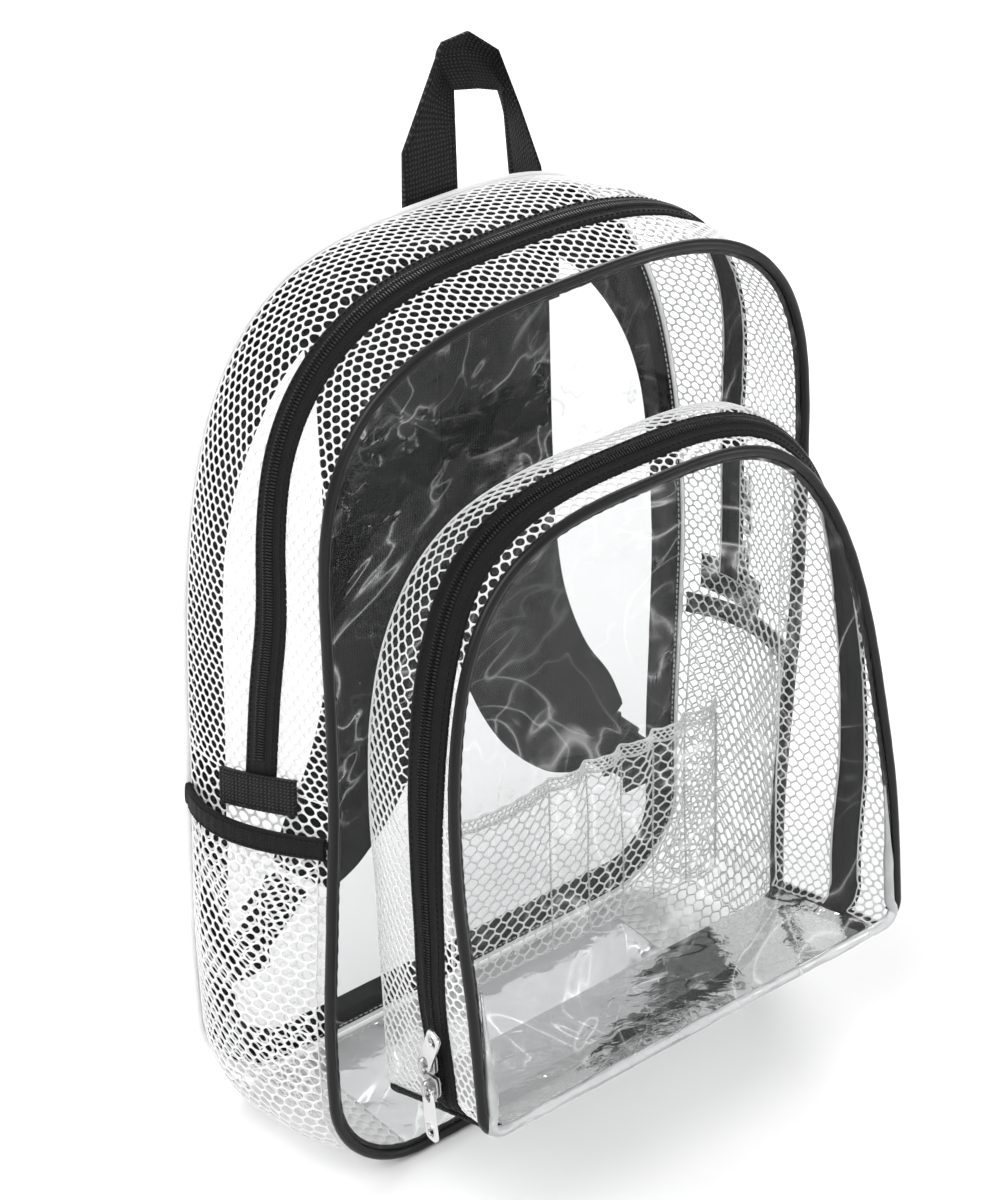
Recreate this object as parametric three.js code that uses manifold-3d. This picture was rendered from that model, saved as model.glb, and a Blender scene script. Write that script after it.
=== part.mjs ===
// Clear stadium backpack: clear panels in black piping, white net sides, a zipped front pocket.
// Millimetres, +Z up, +Y to the wearer's back; the origin is on the floor under the bag.
import * as THREE from "three";
import { mergeVertices } from "three/addons/utils/BufferGeometryUtils.js";
import Module from "manifold-3d";

const wasm = await Module();
wasm.setup();
const degrees = THREE.MathUtils.degToRad;

// Main bag
const bagHeight = 432; // foot seam to crown seam
const bagWidth = 287; // between the front's straight side seams
const bagDepth = 100; // front seam to back seam
const bagShoulder = 297; // height where the front's sides start to round in
const bagFootRadius = 50;
const bagSway = 12; // how far the slack bag leans aside at its foot
const backWidth = 312; // the back is fuller than the front
const backShoulder = 117;
const backRise = 5; // how far the back's crown stands above the front's
const backSway = 8;
const leftLift = 20; // the left side's zipper end and pocket sit higher than the right's
const gussetSwell = 7; // how far the net sides belly out
const footSag = 3; // how far the bottom hangs below its seams
const dentDepth = 2.5; // of the front panel's deepest slack dent

// Walls and gaps
const panelWall = 1.0; // clear sheet
const netWall = 1.2;
const tapeWall = 1.2;
const webbingWall = 2.2;
const fit = 0.35; // gap between pieces that touch on the real bag
const seamStep = 62; // longest step between two stations of a seam
const seamTurn = degrees(24); // largest turn between them
const pipingRadius = 2.6;

// Zippers
const mainTapeWidth = 18;
const pocketTapeWidth = 21;
const coilWidth = 6;
const coilHeight = 1.6;
const endTabWidth = 46;
const endTabHeight = 19;
const endTabTilt = 7; // how much higher its front end sits
const mainSliderHeight = 252; // the upper one of the two
const mainSliderSpacing = 38;
const sliderRest = 14; // from the lower slider down to the zipper's end
const zipperEnd = mainSliderHeight - mainSliderSpacing - sliderRest; // on the right side

// Front pocket
const pocketWidth = 254;
const pocketRimWidth = 264;
const pocketTop = 353;
const pocketFoot = 46;
const pocketShoulder = 224;
const pocketCrownLean = 11; // how far its back edge leans to the right at the crown
const pocketRimLift = 26; // the pocket's front edge rides higher than its back edge
const pocketRimTop = 354;
const pocketRimShoulder = 96;
const pocketCornerRadius = 12;
const pocketDepth = 84;
const pocketSwell = 5;
const pocketDome = 5; // how far the pocket's front panel bellies out
const pocketSliderHeight = 98;
const pocketSliderSpacing = 14;

// Side pockets
const sidePocketDrop = 20; // from the zipper's end down to the pocket's top
const sidePocketHeight = zipperEnd - sidePocketDrop;
const sidePocketRise = 3; // the binding climbs this much at its front end
const sidePocketSwell = 13;
const bindingWidth = 11;
const bindingWall = 2.4;

// Organizer inside the front pocket
const organizerWidth = 168;
const organizerTop = 183;
const organizerFoot = 82;
const organizerPuff = 4;

// Back
const borderWidth = 18;
const borderCrown = 34; // the border is taller at the crown
const windowLap = 9;

// Shoulder straps, yoke and webbing
const strapWidth = 68;
const strapThickness = 9;
const strapSpacing = 69;
const strapTop = 366;
const strapFoot = 104;
const strapSpread = 62; // how far each strap's lower end swings outwards
const webbingWidth = 25;
const anchorHeight = 72;
const anchorSpacing = 264;
const yokeWidth = 150;
const yokeHeight = 34;
const lockWidth = 34;
const lockHeight = 26;
const lockWall = 4;

// Haul loop
const loopOffset = 28; // it is sewn on to the right of the middle
const loopWidth = 94; // over both feet
const loopFoot = 404;
const loopTop = 512;
const loopCurl = 8; // the top band is cupped this deep
const loopLean = 10; // how far the right foot's outer edge turns back

// Sliders and pulls
const sliderLength = 12;
const sliderWidth = 9;
const sliderBody = 3;
const pinRadius = 1.25;
const bailGap = 2.2; // from the pin's axis down to the slider body
const bailWindow = 7.2;
const bailWire = 1.3;
const bailWidth = 2.5;
const pullLength = 30;
const pullWidth = 9;
const pullWall = 1.6;
const pullEye = 7.2; // from the pin's axis to the far end of the eye
const pullSkew = 28; // degrees that the raised pocket pull leans towards the front

const frontSeam = -bagDepth / 2;
const backSeam = bagDepth / 2;
const seamLift = footSag;
const seamInset = pipingRadius + fit;

const lerp = THREE.MathUtils.lerp;
const smooth = THREE.MathUtils.smoothstep;

// Reads a smooth value from a table of rows at a place between them.
function along(table, place, from, column) {
  const last = table.length - 1;
  const spot = THREE.MathUtils.clamp(place, table[0][from], table[last][from]);
  let k = 1;
  while (k < last && spot > table[k][from]) k += 1;
  const slopeAt = (row) => {
    const [a, b] = [table[Math.max(row - 1, 0)], table[Math.min(row + 1, last)]];
    return (b[column] - a[column]) / (b[from] - a[from]);
  };
  const [low, high] = [table[k - 1], table[k]];
  const step = high[from] - low[from];
  const t = (spot - low[from]) / step;
  const ease = t * t * (3 - 2 * t);
  const leave = t * (1 - t) * (1 - t) * step * slopeAt(k - 1);
  const reach = t * t * (t - 1) * step * slopeAt(k);
  return lerp(low[column], high[column], ease) + leave + reach;
}

// Sideways lean of the bag, as shares of the sway, by share of the height.
const leanTable = [
  { up: 0, aside: -1 },
  { up: 0.2, aside: -1.1 },
  { up: 0.36, aside: -0.67 },
  { up: 0.5, aside: -0.23 },
  { up: 0.7, aside: -0.07 },
  { up: 1, aside: -0.14 },
];

// An arched outline in the XZ plane: flat foot, round corners, straight sides, a full crown.
class ArchCurve extends THREE.Curve {
  constructor({ width, foot, top, shoulder, footRadius, power, lean, crownLean, stations }) {
    super();
    Object.assign(this, { half: width / 2, foot, top, shoulder, footRadius, power });
    Object.assign(this, { lean, crownLean });
    this.arcLengthDivisions = 600;
    this.stations = stations ?? this.findStations();
  }

  // Half of the outline, from the foot's middle (0) to the crown (1).
  halfPoint(share) {
    const { half, foot, top, shoulder, footRadius, power } = this;
    if (share < 0.2) return [(share / 0.2) * (half - footRadius), foot];
    if (share < 0.35) {
      const turn = ((share - 0.2) / 0.15) * (Math.PI / 2);
      return [
        half - footRadius + footRadius * Math.sin(turn),
        foot + footRadius - footRadius * Math.cos(turn),
      ];
    }
    if (share < 0.5) {
      const rise = (share - 0.35) / 0.15;
      return [half, lerp(foot + footRadius, shoulder, rise)];
    }
    const turn = ((share - 0.5) / 0.5) * (Math.PI / 2);
    return [
      half * Math.max(Math.cos(turn), 0) ** power,
      shoulder + (top - shoulder) * Math.sin(turn) ** power,
    ];
  }

  getPoint(t, target = new THREE.Vector3()) {
    const right = t <= 0.5;
    const [x, z] = this.halfPoint(right ? 2 * t : 2 - 2 * t);
    const sway = this.lean * along(leanTable, (z - seamLift) / bagHeight, "up", "aside");
    const aside = sway + this.crownLean * smooth(z, this.shoulder, this.top);
    return target.set((right ? x : -x) + aside, 0, z);
  }

  // Point and outward direction at a share of the outline's length; under 0 is past the foot.
  frame(share) {
    const pointAt = (place) => this.getPointAt(THREE.MathUtils.euclideanModulo(place, 1));
    const ahead = pointAt(share + 0.004).sub(pointAt(share - 0.004)).normalize();
    return { point: pointAt(share), out: new THREE.Vector3(ahead.z, 0, -ahead.x) };
  }

  // Share of the length at a height, on the right half; the left half is one minus it.
  shareAt(height) {
    let [low, high] = [0, 0.5];
    for (let step = 0; step < 30; step += 1) {
      const middle = (low + high) / 2;
      if (this.getPointAt(middle).z < height) low = middle;
      else high = middle;
    }
    return (low + high) / 2;
  }

  // Shares where the pieces along this outline all have their corners, closer at its bends.
  findStations() {
    const steps = 500;
    const spent = [0];
    for (let k = 1; k <= steps; k += 1) {
      const [a, b] = [this.frame((k - 1) / (2 * steps)), this.frame(k / (2 * steps))];
      const length = a.point.distanceTo(b.point) / seamStep;
      spent.push(spent[k - 1] + length + a.out.angleTo(b.out) / seamTurn);
    }
    const spans = Math.ceil(spent[steps]);
    const half = [];
    for (let n = 0; n <= spans; n += 1) {
      const place = spent.findIndex((cost) => cost >= (n / spans) * spent[steps] - 1e-9);
      half.push(place / (2 * steps));
    }
    return [...half, ...half.slice(0, -1).reverse().map((share) => 1 - share)];
  }

  // The stations from one share to another, with both of these.
  between(from, to) {
    const all = new Set([...this.stations.map((share) => share - 1), ...this.stations]);
    const inside = [...all].filter((share) => share > from + 0.006 && share < to - 0.006);
    return [from, ...inside, to];
  }
}

const mainSeam = new ArchCurve({
  width: bagWidth,
  foot: seamLift,
  top: seamLift + bagHeight,
  shoulder: seamLift + bagShoulder,
  footRadius: bagFootRadius,
  power: 0.63,
  lean: bagSway,
  crownLean: 0,
});
// The back's outline; its corners stand at the same shares of its length as the front's.
const backArch = new ArchCurve({
  width: backWidth,
  foot: seamLift,
  top: seamLift + bagHeight + backRise,
  shoulder: seamLift + backShoulder,
  footRadius: bagFootRadius,
  power: 0.6,
  lean: backSway,
  crownLean: -3,
  stations: mainSeam.stations,
});
const pocketSeam = new ArchCurve({
  width: pocketWidth,
  foot: pocketFoot,
  top: pocketTop,
  shoulder: pocketShoulder,
  footRadius: pocketCornerRadius,
  power: 0.625,
  lean: 0,
  crownLean: pocketCrownLean,
});
const pocketRim = new ArchCurve({
  width: pocketRimWidth,
  foot: pocketFoot + pocketRimLift,
  top: pocketRimTop,
  shoulder: pocketRimShoulder,
  footRadius: pocketCornerRadius,
  power: 0.6,
  lean: 0,
  crownLean: 0,
});

// Evenly spaced values from one end to the other.
function spread(from, to, steps) {
  return Array.from({ length: steps + 1 }, (_, k) => lerp(from, to, k / steps));
}

// Whole numbers from one to another.
function count(from, to) {
  return Array.from({ length: to - from + 1 }, (_, k) => from + k);
}

// A closed thin sheet over a grid of places. at(u, v, proud) gives a point of it, proud
// millimetres outside its outer face.
function sheet({ us, vs, at, wall }) {
  const [columns, rows] = [us.length - 1, vs.length - 1];
  const points = [0, -wall].flatMap((proud) => us.flatMap((u) => vs.map((v) => at(u, v, proud))));
  const layer = (columns + 1) * (rows + 1);
  const id = (i, j, side) => side * layer + i * (rows + 1) + j;
  const faces = [];
  const quad = (a, b, c, d) => faces.push(a, b, c, a, c, d);
  for (let i = 0; i < columns; i += 1) {
    for (let j = 0; j < rows; j += 1) {
      quad(id(i, j, 0), id(i + 1, j, 0), id(i + 1, j + 1, 0), id(i, j + 1, 0));
      quad(id(i, j, 1), id(i, j + 1, 1), id(i + 1, j + 1, 1), id(i + 1, j, 1));
    }
  }
  for (let i = 0; i < columns; i += 1) {
    quad(id(i, 0, 0), id(i, 0, 1), id(i + 1, 0, 1), id(i + 1, 0, 0));
    quad(id(i, rows, 0), id(i + 1, rows, 0), id(i + 1, rows, 1), id(i, rows, 1));
  }
  for (let j = 0; j < rows; j += 1) {
    quad(id(0, j, 0), id(0, j + 1, 0), id(0, j + 1, 1), id(0, j, 1));
    quad(id(columns, j, 0), id(columns, j, 1), id(columns, j + 1, 1), id(columns, j + 1, 0));
  }
  return outward(points, faces);
}

// Makes a geometry whose faces point out, whichever way round its grid was laid.
function outward(points, faces) {
  let volume = 0;
  for (let k = 0; k < faces.length; k += 3) {
    const [a, b, c] = [points[faces[k]], points[faces[k + 1]], points[faces[k + 2]]];
    volume += a.dot(b.clone().cross(c));
  }
  if (volume < 0) faces.reverse();
  return new THREE.BufferGeometry().setFromPoints(points).setIndex(faces);
}

function toSolid(geometry) {
  const bare = geometry.clone();
  bare.deleteAttribute("normal");
  bare.deleteAttribute("uv");
  const merged = mergeVertices(bare, 1e-4);
  return new wasm.Manifold(
    new wasm.Mesh({
      numProp: 3,
      vertProperties: new Float32Array(merged.attributes.position.array),
      triVerts: new Uint32Array(merged.index.array),
    }),
  );
}

function toGeometry(solid) {
  const mesh = solid.getMesh();
  const geometry = new THREE.BufferGeometry();
  geometry.setAttribute("position", new THREE.BufferAttribute(mesh.vertProperties, 3));
  return geometry.setIndex(new THREE.BufferAttribute(mesh.triVerts, 1));
}

// A net sheet: a six-sided gap cut through the middle of every cell of its grid, or of every
// other one.
function netSheet({ us, vs, at, wall, gapRadius, every = 1 }) {
  let net = toSolid(sheet({ us, vs, at, wall }));
  const axis = new THREE.Vector3(0, 1, 0);
  for (let i = 1; i < us.length; i += 1) {
    for (let j = 1; j < vs.length; j += 1) {
      if ((i + j) % every) continue;
      const [u, v] = [(us[i - 1] + us[i]) / 2, (vs[j - 1] + vs[j]) / 2];
      const centre = at(u, v, -wall / 2);
      const across = at(us[i - 1], v, 0).distanceTo(at(us[i], v, 0));
      const upward = at(u, vs[j - 1], 0).distanceTo(at(u, vs[j], 0));
      const radius = Math.min(gapRadius, 0.36 * across, 0.36 * upward);
      const gap = new THREE.CylinderGeometry(radius, radius, 8 * wall, 6);
      const outside = at(u, v, 1).sub(centre).normalize();
      const turn = new THREE.Quaternion().setFromUnitVectors(axis, outside);
      gap.applyMatrix4(new THREE.Matrix4().compose(centre, turn, new THREE.Vector3(1, 1, 1)));
      net = net.subtract(toSolid(gap));
    }
  }
  return toGeometry(net);
}

// An arch outline at a depth that may change with height, stepped station by station.
class PipingPath extends THREE.Curve {
  constructor(arch, depthAt) {
    super();
    this.arch = arch;
    this.depthAt = depthAt;
    this.shares = arch.between(0.0004, 0.9996);
  }

  getPoint(t, target = new THREE.Vector3()) {
    const place = t * (this.shares.length - 1);
    const k = Math.min(Math.floor(place), this.shares.length - 2);
    const point = this.arch.getPointAt(lerp(this.shares[k], this.shares[k + 1], place - k));
    return target.set(point.x, this.depthAt(point.z), point.z);
  }

  getUtoTmapping(u) {
    return u;
  }
}

// Piping along an outline; its ends meet, a hair apart, in the middle of the foot.
function pipingGeometry(arch, depthAt) {
  const path = new PipingPath(arch, depthAt);
  const section = new THREE.Shape();
  section.absarc(0, 0, pipingRadius, 0, 2 * Math.PI);
  return new THREE.ExtrudeGeometry(section, {
    extrudePath: path,
    steps: path.shares.length - 1,
    curveSegments: 3,
    bevelEnabled: false,
  });
}

const finishes = {
  clear: { color: 0xdfe4e6, roughness: 0.08, transparent: true, opacity: 0.35 },
  net: { color: 0xf2f2f0, roughness: 0.7 },
  piping: { color: 0x101012, roughness: 0.35 },
  cloth: { color: 0x17171a, roughness: 0.8 },
  webbing: { color: 0x19191c, roughness: 0.7 },
  coil: { color: 0x08080a, roughness: 0.45 },
  metal: { color: 0xc9cbce, roughness: 0.25, metalness: 1 },
  plastic: { color: 0x121214, roughness: 0.5 },
};

const bag = new THREE.Group();
bag.name = "clear_backpack";

function addPiece(name, geometry, finish, parent = bag) {
  const mesh = new THREE.Mesh(geometry, new THREE.MeshStandardMaterial(finishes[finish]));
  mesh.name = name;
  parent.add(mesh);
  return mesh;
}

const sides = [
  { name: "right", sign: 1, lift: 0 },
  { name: "left", sign: -1, lift: leftLift },
];

// The share of an outline's length on a side, from the share on the right half.
const onSide = (sign, share) => (sign > 0 ? share : 1 - share);

// A point on the main gusset: share of the girth, millimetres back from the front seam.
function gussetPoint(share, across, proud) {
  const { point, out } = mainSeam.frame(share);
  const upright = smooth(point.z, seamLift + bagFootRadius, 3 * bagFootRadius);
  const sag = footSag * (1 - smooth(point.z, seamLift, seamLift + bagFootRadius));
  const belly = gussetSwell * upright * Math.sin(Math.PI * (across / bagDepth) ** 1.3);
  const away = belly + sag + proud;
  const { point: behind } = backArch.frame(share);
  return point
    .lerp(behind, across / bagDepth)
    .addScaledVector(out, away)
    .setY(frontSeam + across);
}

const zipperStart = mainSeam.shareAt(zipperEnd + fit); // on the right
const zipperLast = 1 - mainSeam.shareAt(zipperEnd + leftLift + fit); // on the left
const cornerStart = mainSeam.shareAt(seamLift + 0.2);

// Where the main zipper's middle runs between the seams, as a share of the depth, from the left
// end of the zipper to its right end.
const zipperTable = [
  { along: 0, across: 0.43 },
  { along: 0.07, across: 0.39 },
  { along: 0.14, across: 0.335 },
  { along: 0.2, across: 0.345 },
  { along: 0.26, across: 0.375 },
  { along: 0.38, across: 0.41 },
  { along: 0.5, across: 0.42 },
  { along: 0.62, across: 0.41 },
  { along: 0.75, across: 0.5 },
  { along: 0.86, across: 0.61 },
  { along: 1, across: 0.64 },
];

function zipperMiddle(share) {
  const place = (zipperLast - share) / (zipperLast - zipperStart);
  return bagDepth * along(zipperTable, place, "along", "across");
}

// Slack dents of the front panel: across and wide as shares of the bag's width, up as shares of
// its height, deep as shares of the deepest dent.
const dentTable = [
  { across: -0.28, up: 0.84, wide: 0.136, deep: 1 },
  { across: 0.3, up: 0.88, wide: 0.088, deep: 0.6 },
  { across: -0.42, up: 0.5, wide: 0.082, deep: 0.6 },
];

function frontDent(x, z) {
  return dentTable.reduce((sum, dent) => {
    const dx = x - dent.across * bagWidth;
    const dz = z - dent.up * bagHeight;
    const reach = dent.wide * bagWidth;
    return sum + dentDepth * dent.deep * Math.exp(-(dx * dx + dz * dz) / (2 * reach * reach));
  }, 0);
}

const frontFace = (x, z) => frontSeam - panelWall / 2 + frontDent(x, z);

// A panel that fills an arch outline, inset from it; depthAt(x, z, proud) sets its depth. Its
// rows run from side to side between stations, and the top row follows the stations of the crown.
function archPanel({ arch, inset, columns, depthAt, wall }) {
  const { stations } = arch;
  const crown = (stations.length - 1) / 2;
  const top = crown - columns / 2;
  const footStart = arch.shareAt(arch.foot + 0.2);
  const bottom = stations.findIndex((share) => share > footStart) - 1;
  const inside = (share) => {
    const { point, out } = arch.frame(share);
    return point.addScaledVector(out, -inset);
  };
  const at = (column, row, proud) => {
    const place =
      row === top
        ? inside(stations[crown + columns / 2 - column])
        : inside(1 - stations[row]).lerp(inside(stations[row]), column / columns);
    return place.setY(depthAt(place.x, place.z, proud));
  };
  return sheet({ us: count(0, columns), vs: count(bottom, top), at, wall });
}

function addMainPanels() {
  const front = archPanel({
    arch: mainSeam,
    inset: seamInset,
    columns: 6,
    depthAt: (x, z, proud) => frontFace(x, z) - proud,
    wall: panelWall,
  });
  addPiece("front_panel", front, "clear");
  const behindBorder = backSeam - panelWall - fit;
  const window = archPanel({
    arch: backArch,
    inset: seamInset + borderWidth - windowLap,
    columns: 2,
    depthAt: (x, z, proud) => behindBorder + proud,
    wall: panelWall,
  });
  addPiece("back_window", window, "clear");
  const us = mainSeam.between(-cornerStart, cornerStart);
  const vs = [seamInset, bagDepth - seamInset];
  const foot = sheet({ us, vs, at: gussetPoint, wall: netWall });
  addPiece("bottom_panel", foot, "clear");
}

function addBackBorder() {
  const at = (share, v, proud) => {
    const { point, out } = backArch.frame(share);
    const crown = smooth(point.z, seamLift + bagShoulder, seamLift + bagHeight);
    const inner = seamInset + lerp(borderWidth, borderCrown, crown);
    point.addScaledVector(out, -lerp(seamInset, inner, v));
    return point.setY(backSeam + panelWall / 2 + proud);
  };
  const us = backArch.between(0.0006, 0.9994);
  addPiece("back_border", sheet({ us, vs: [0, 1], at, wall: netWall }), "cloth");
}

function addZippedCrown() {
  const us = mainSeam.between(zipperStart, zipperLast);
  const frontEdge = (share) => zipperMiddle(share) - mainTapeWidth / 2;
  const backEdge = (share) => zipperMiddle(share) + mainTapeWidth / 2;
  const frontNet = (share, v, proud) =>
    gussetPoint(share, lerp(seamInset, frontEdge(share), v), proud);
  const backNet = (share, v, proud) =>
    gussetPoint(share, lerp(bagDepth - seamInset, backEdge(share), v), proud);
  const net = { us, vs: [0, 1], wall: netWall };
  addPiece("crown_net_front", netSheet({ ...net, at: frontNet, gapRadius: 8 }), "net");
  addPiece("crown_net_back", netSheet({ ...net, at: backNet, gapRadius: 7 }), "net");
  const tape = (share, v, proud) =>
    gussetPoint(share, zipperMiddle(share) + v * (mainTapeWidth / 2 - fit), proud);
  addPiece("main_zipper_tape", sheet({ us, vs: [-1, 1], at: tape, wall: tapeWall }), "cloth");
  const coil = (share, v, proud) =>
    gussetPoint(share, zipperMiddle(share) + v * (coilWidth / 2), fit + coilHeight + proud);
  const coilShares = mainSeam.between(zipperStart + 0.01, zipperLast - 0.01);
  const ridge = sheet({ us: coilShares, vs: [-1, 1], at: coil, wall: coilHeight });
  addPiece("main_zipper_coil", ridge, "coil");
}

// The gusset's lower sides share these places across with the pockets on them.
const pocketEdge = 7;
const acrossPlaces = spread(pocketEdge, bagDepth - pocketEdge, 4);

function addGussetSides() {
  const us = [seamInset, ...acrossPlaces, bagDepth - seamInset];
  for (const { name, sign, lift } of sides) {
    const shares = mainSeam.between(cornerStart + 0.0008, mainSeam.shareAt(zipperEnd + lift));
    shares.push(mainSeam.shareAt(sidePocketHeight + lift - bindingWidth));
    shares.sort((a, b) => a - b);
    const side = (across, share, proud) => gussetPoint(onSide(sign, share), across, proud);
    addPiece(`side_net_${name}`, sheet({ us, vs: shares, at: side, wall: netWall }), "net");
    const middle = zipperMiddle(sign > 0 ? zipperStart : zipperLast);
    const patch = (across, share, proud) => {
      const stand = 3 * fit + webbingWall + proud;
      const tilt = (sign > 0 ? 0 : (endTabTilt * across) / endTabWidth) / mainSeam.getLength();
      return gussetPoint(onSide(sign, share - tilt), middle + across, stand);
    };
    const low = mainSeam.shareAt(zipperEnd + lift - 0.7 * endTabHeight);
    const high = mainSeam.shareAt(zipperEnd + lift + 0.3 * endTabHeight);
    const places = spread(-endTabWidth / 2, endTabWidth / 2, 4);
    addPiece(
      `zipper_end_${name}`,
      sheet({ us: places, vs: [low, high], at: patch, wall: webbingWall }),
      "webbing",
    );
  }
}

function addMainPiping() {
  addPiece("front_piping", pipingGeometry(mainSeam, () => frontSeam), "piping");
  addPiece("back_piping", pipingGeometry(backArch, () => backSeam), "net");
}

// Height of a side pocket's binding, as shares of its rise, by share of the depth.
const bindingTable = [
  { across: 0, up: 1 },
  { across: 0.3, up: 0.42 },
  { across: 0.6, up: 0.15 },
  { across: 1, up: 0 },
];

// How far a side pocket stands off the side net, as a share of its swell, by share of its height.
const swellTable = [
  { up: 0, out: 0.15 },
  { up: 0.2, out: 0.8 },
  { up: 0.4, out: 1 },
  { up: 0.75, out: 0.75 },
  { up: 1, out: 0.5 },
];

// A net bag on each lower side under an elastic binding.
function addSidePockets() {
  const bindingTop = (across, lift) => {
    const rise = sidePocketRise * along(bindingTable, across / bagDepth, "across", "up");
    return sidePocketHeight + lift + rise;
  };
  const place = (sign, lift, across, share, proud) => {
    const on = onSide(sign, share);
    const up = mainSeam.getPointAt(on).z / (sidePocketHeight + lift);
    const swell = sidePocketSwell * along(swellTable, up, "up", "out");
    const middle = Math.sin((Math.PI * (across - pocketEdge)) / (bagDepth - 2 * pocketEdge));
    const stand = 2 * fit + swell * Math.max(middle, 0) ** 0.7;
    return gussetPoint(on, across, stand + proud);
  };
  const lowest = mainSeam.stations.find((share) => share > cornerStart + 0.022);
  const under = 45; // from the pocket's top down to its last row of gaps
  for (const { name, sign, lift } of sides) {
    const shares = mainSeam.between(lowest, mainSeam.shareAt(sidePocketHeight + lift - under));
    // Rows follow the stations; the last one follows the binding's lower edge.
    const net = (across, row, proud) => {
      const edge = mainSeam.shareAt(bindingTop(across, lift) - bindingWidth - fit);
      const rows = [...shares, edge];
      const k = Math.min(Math.floor(row), rows.length - 2);
      return place(sign, lift, across, lerp(rows[k], rows[k + 1], row - k), netWall + proud);
    };
    const vs = count(0, shares.length);
    addPiece(
      `side_pocket_${name}`,
      netSheet({ us: acrossPlaces, vs, at: net, wall: netWall, gapRadius: 8.5, every: 2 }),
      "net",
    );
    const binding = (across, v, proud) => {
      const height = bindingTop(across, lift) - (1 - v) * bindingWidth;
      return place(sign, lift, across, mainSeam.shareAt(height), bindingWall + proud);
    };
    addPiece(
      `side_pocket_binding_${name}`,
      sheet({ us: acrossPlaces, vs: [0, 1], at: binding, wall: bindingWall }),
      "cloth",
    );
  }
}

// Depth of the pocket's front edge by height, as shares of the pocket depth.
const depthTable = [
  { up: 0, deep: 1 },
  { up: 0.25, deep: 0.93 },
  { up: 0.45, deep: 0.82 },
  { up: 0.7, deep: 0.7 },
  { up: 0.9, deep: 0.61 },
  { up: 1, deep: 0.6 },
];

const rimUp = (height) => (height - pocketRim.foot) / (pocketRim.top - pocketRim.foot);
const rimDepth = (height) =>
  frontSeam - pocketDepth * along(depthTable, rimUp(height), "up", "deep");

// A point on the front pocket's belt: share of its girth, share from the seam to the rim.
function beltPoint(share, across, proud) {
  const seam = pocketSeam.frame(share);
  const rim = pocketRim.frame(share);
  const from = seam.point.setY(frontFace(seam.point.x, seam.point.z) - 3 * fit);
  const to = rim.point.setY(rimDepth(rim.point.z));
  const upright = smooth(from.z, pocketRim.foot, 2 * pocketRim.foot);
  const belly = pocketSwell * upright * Math.sin(Math.PI * across);
  return from.lerp(to, across).addScaledVector(rim.out, belly + proud);
}

// Millimetres across the belt as a share of its breadth at a place of its girth.
function beltShare(share, millimetres) {
  return millimetres / beltPoint(share, 0, 0).distanceTo(beltPoint(share, 1, 0));
}

const pocketEnd = pocketSeam.shareAt(pocketFoot + 0.35 * pocketCornerRadius);

// Where the pocket zipper's middle runs from the seam (0) to the rim (1), from its left end to
// its right end.
const pocketZipperTable = [
  { along: 0, across: 0.6 },
  { along: 0.08, across: 0.6 },
  { along: 0.16, across: 0.68 },
  { along: 0.25, across: 0.73 },
  { along: 0.32, across: 0.7 },
  { along: 0.39, across: 0.6 },
  { along: 0.5, across: 0.55 },
  { along: 0.6, across: 0.59 },
  { along: 0.7, across: 0.7 },
  { along: 0.8, across: 0.7 },
  { along: 0.92, across: 0.6 },
  { along: 1, across: 0.6 },
];

function pocketMiddle(share) {
  const place = (1 - pocketEnd - share) / (1 - 2 * pocketEnd);
  return along(pocketZipperTable, place, "along", "across");
}

// The share of an outline where a point that at(share) gives reaches a height, on the right half.
function shareAtHeight(at, height) {
  let [low, high] = [0.05, 0.45];
  for (let step = 0; step < 30; step += 1) {
    const middle = (low + high) / 2;
    if (at(middle).z < height) low = middle;
    else high = middle;
  }
  return (low + high) / 2;
}

// Where the pocket's sliders sit on its left side: the upper one is 0, the lower one 1.
function pocketSliderShare(k) {
  const middleAt = (place) => beltPoint(1 - place, pocketMiddle(1 - place), 0);
  return 1 - shareAtHeight(middleAt, pocketSliderHeight - k * pocketSliderSpacing);
}

function addPocketBelt() {
  const stations = pocketRim.between(pocketEnd + 0.012, 1 - pocketEnd - 0.012);
  const seats = [0, 1].map(pocketSliderShare);
  const apart = stations.filter((share) => seats.every((seat) => Math.abs(share - seat) > 0.005));
  const coilShares = [...apart, ...seats].sort((a, b) => a - b);
  const us = [pocketEnd, ...coilShares, 1 - pocketEnd];
  const backNet = (share, v, proud) =>
    beltPoint(share, v * (pocketMiddle(share) - beltShare(share, pocketTapeWidth / 2)), proud);
  const frontNet = (share, v, proud) => {
    const start = pocketMiddle(share) + beltShare(share, pocketTapeWidth / 2);
    return beltPoint(share, lerp(start, 1 - beltShare(share, seamInset), v), proud);
  };
  const net = { us, vs: [0, 1], wall: netWall };
  addPiece("pocket_net_back", netSheet({ ...net, at: backNet, gapRadius: 6, every: 2 }), "net");
  addPiece("pocket_net_front", sheet({ ...net, at: frontNet }), "net");
  const tape = (share, v, proud) => {
    const across = pocketMiddle(share) + v * beltShare(share, pocketTapeWidth / 2 - fit);
    return beltPoint(share, across, proud);
  };
  addPiece("pocket_zipper_tape", sheet({ us, vs: [-1, 1], at: tape, wall: tapeWall }), "cloth");
  const coil = (share, v, proud) => {
    const across = pocketMiddle(share) + v * beltShare(share, coilWidth / 2);
    return beltPoint(share, across, fit + coilHeight + proud);
  };
  const ridge = sheet({ us: coilShares, vs: [-1, 1], at: coil, wall: coilHeight });
  addPiece("pocket_zipper_coil", ridge, "coil");
}

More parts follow.
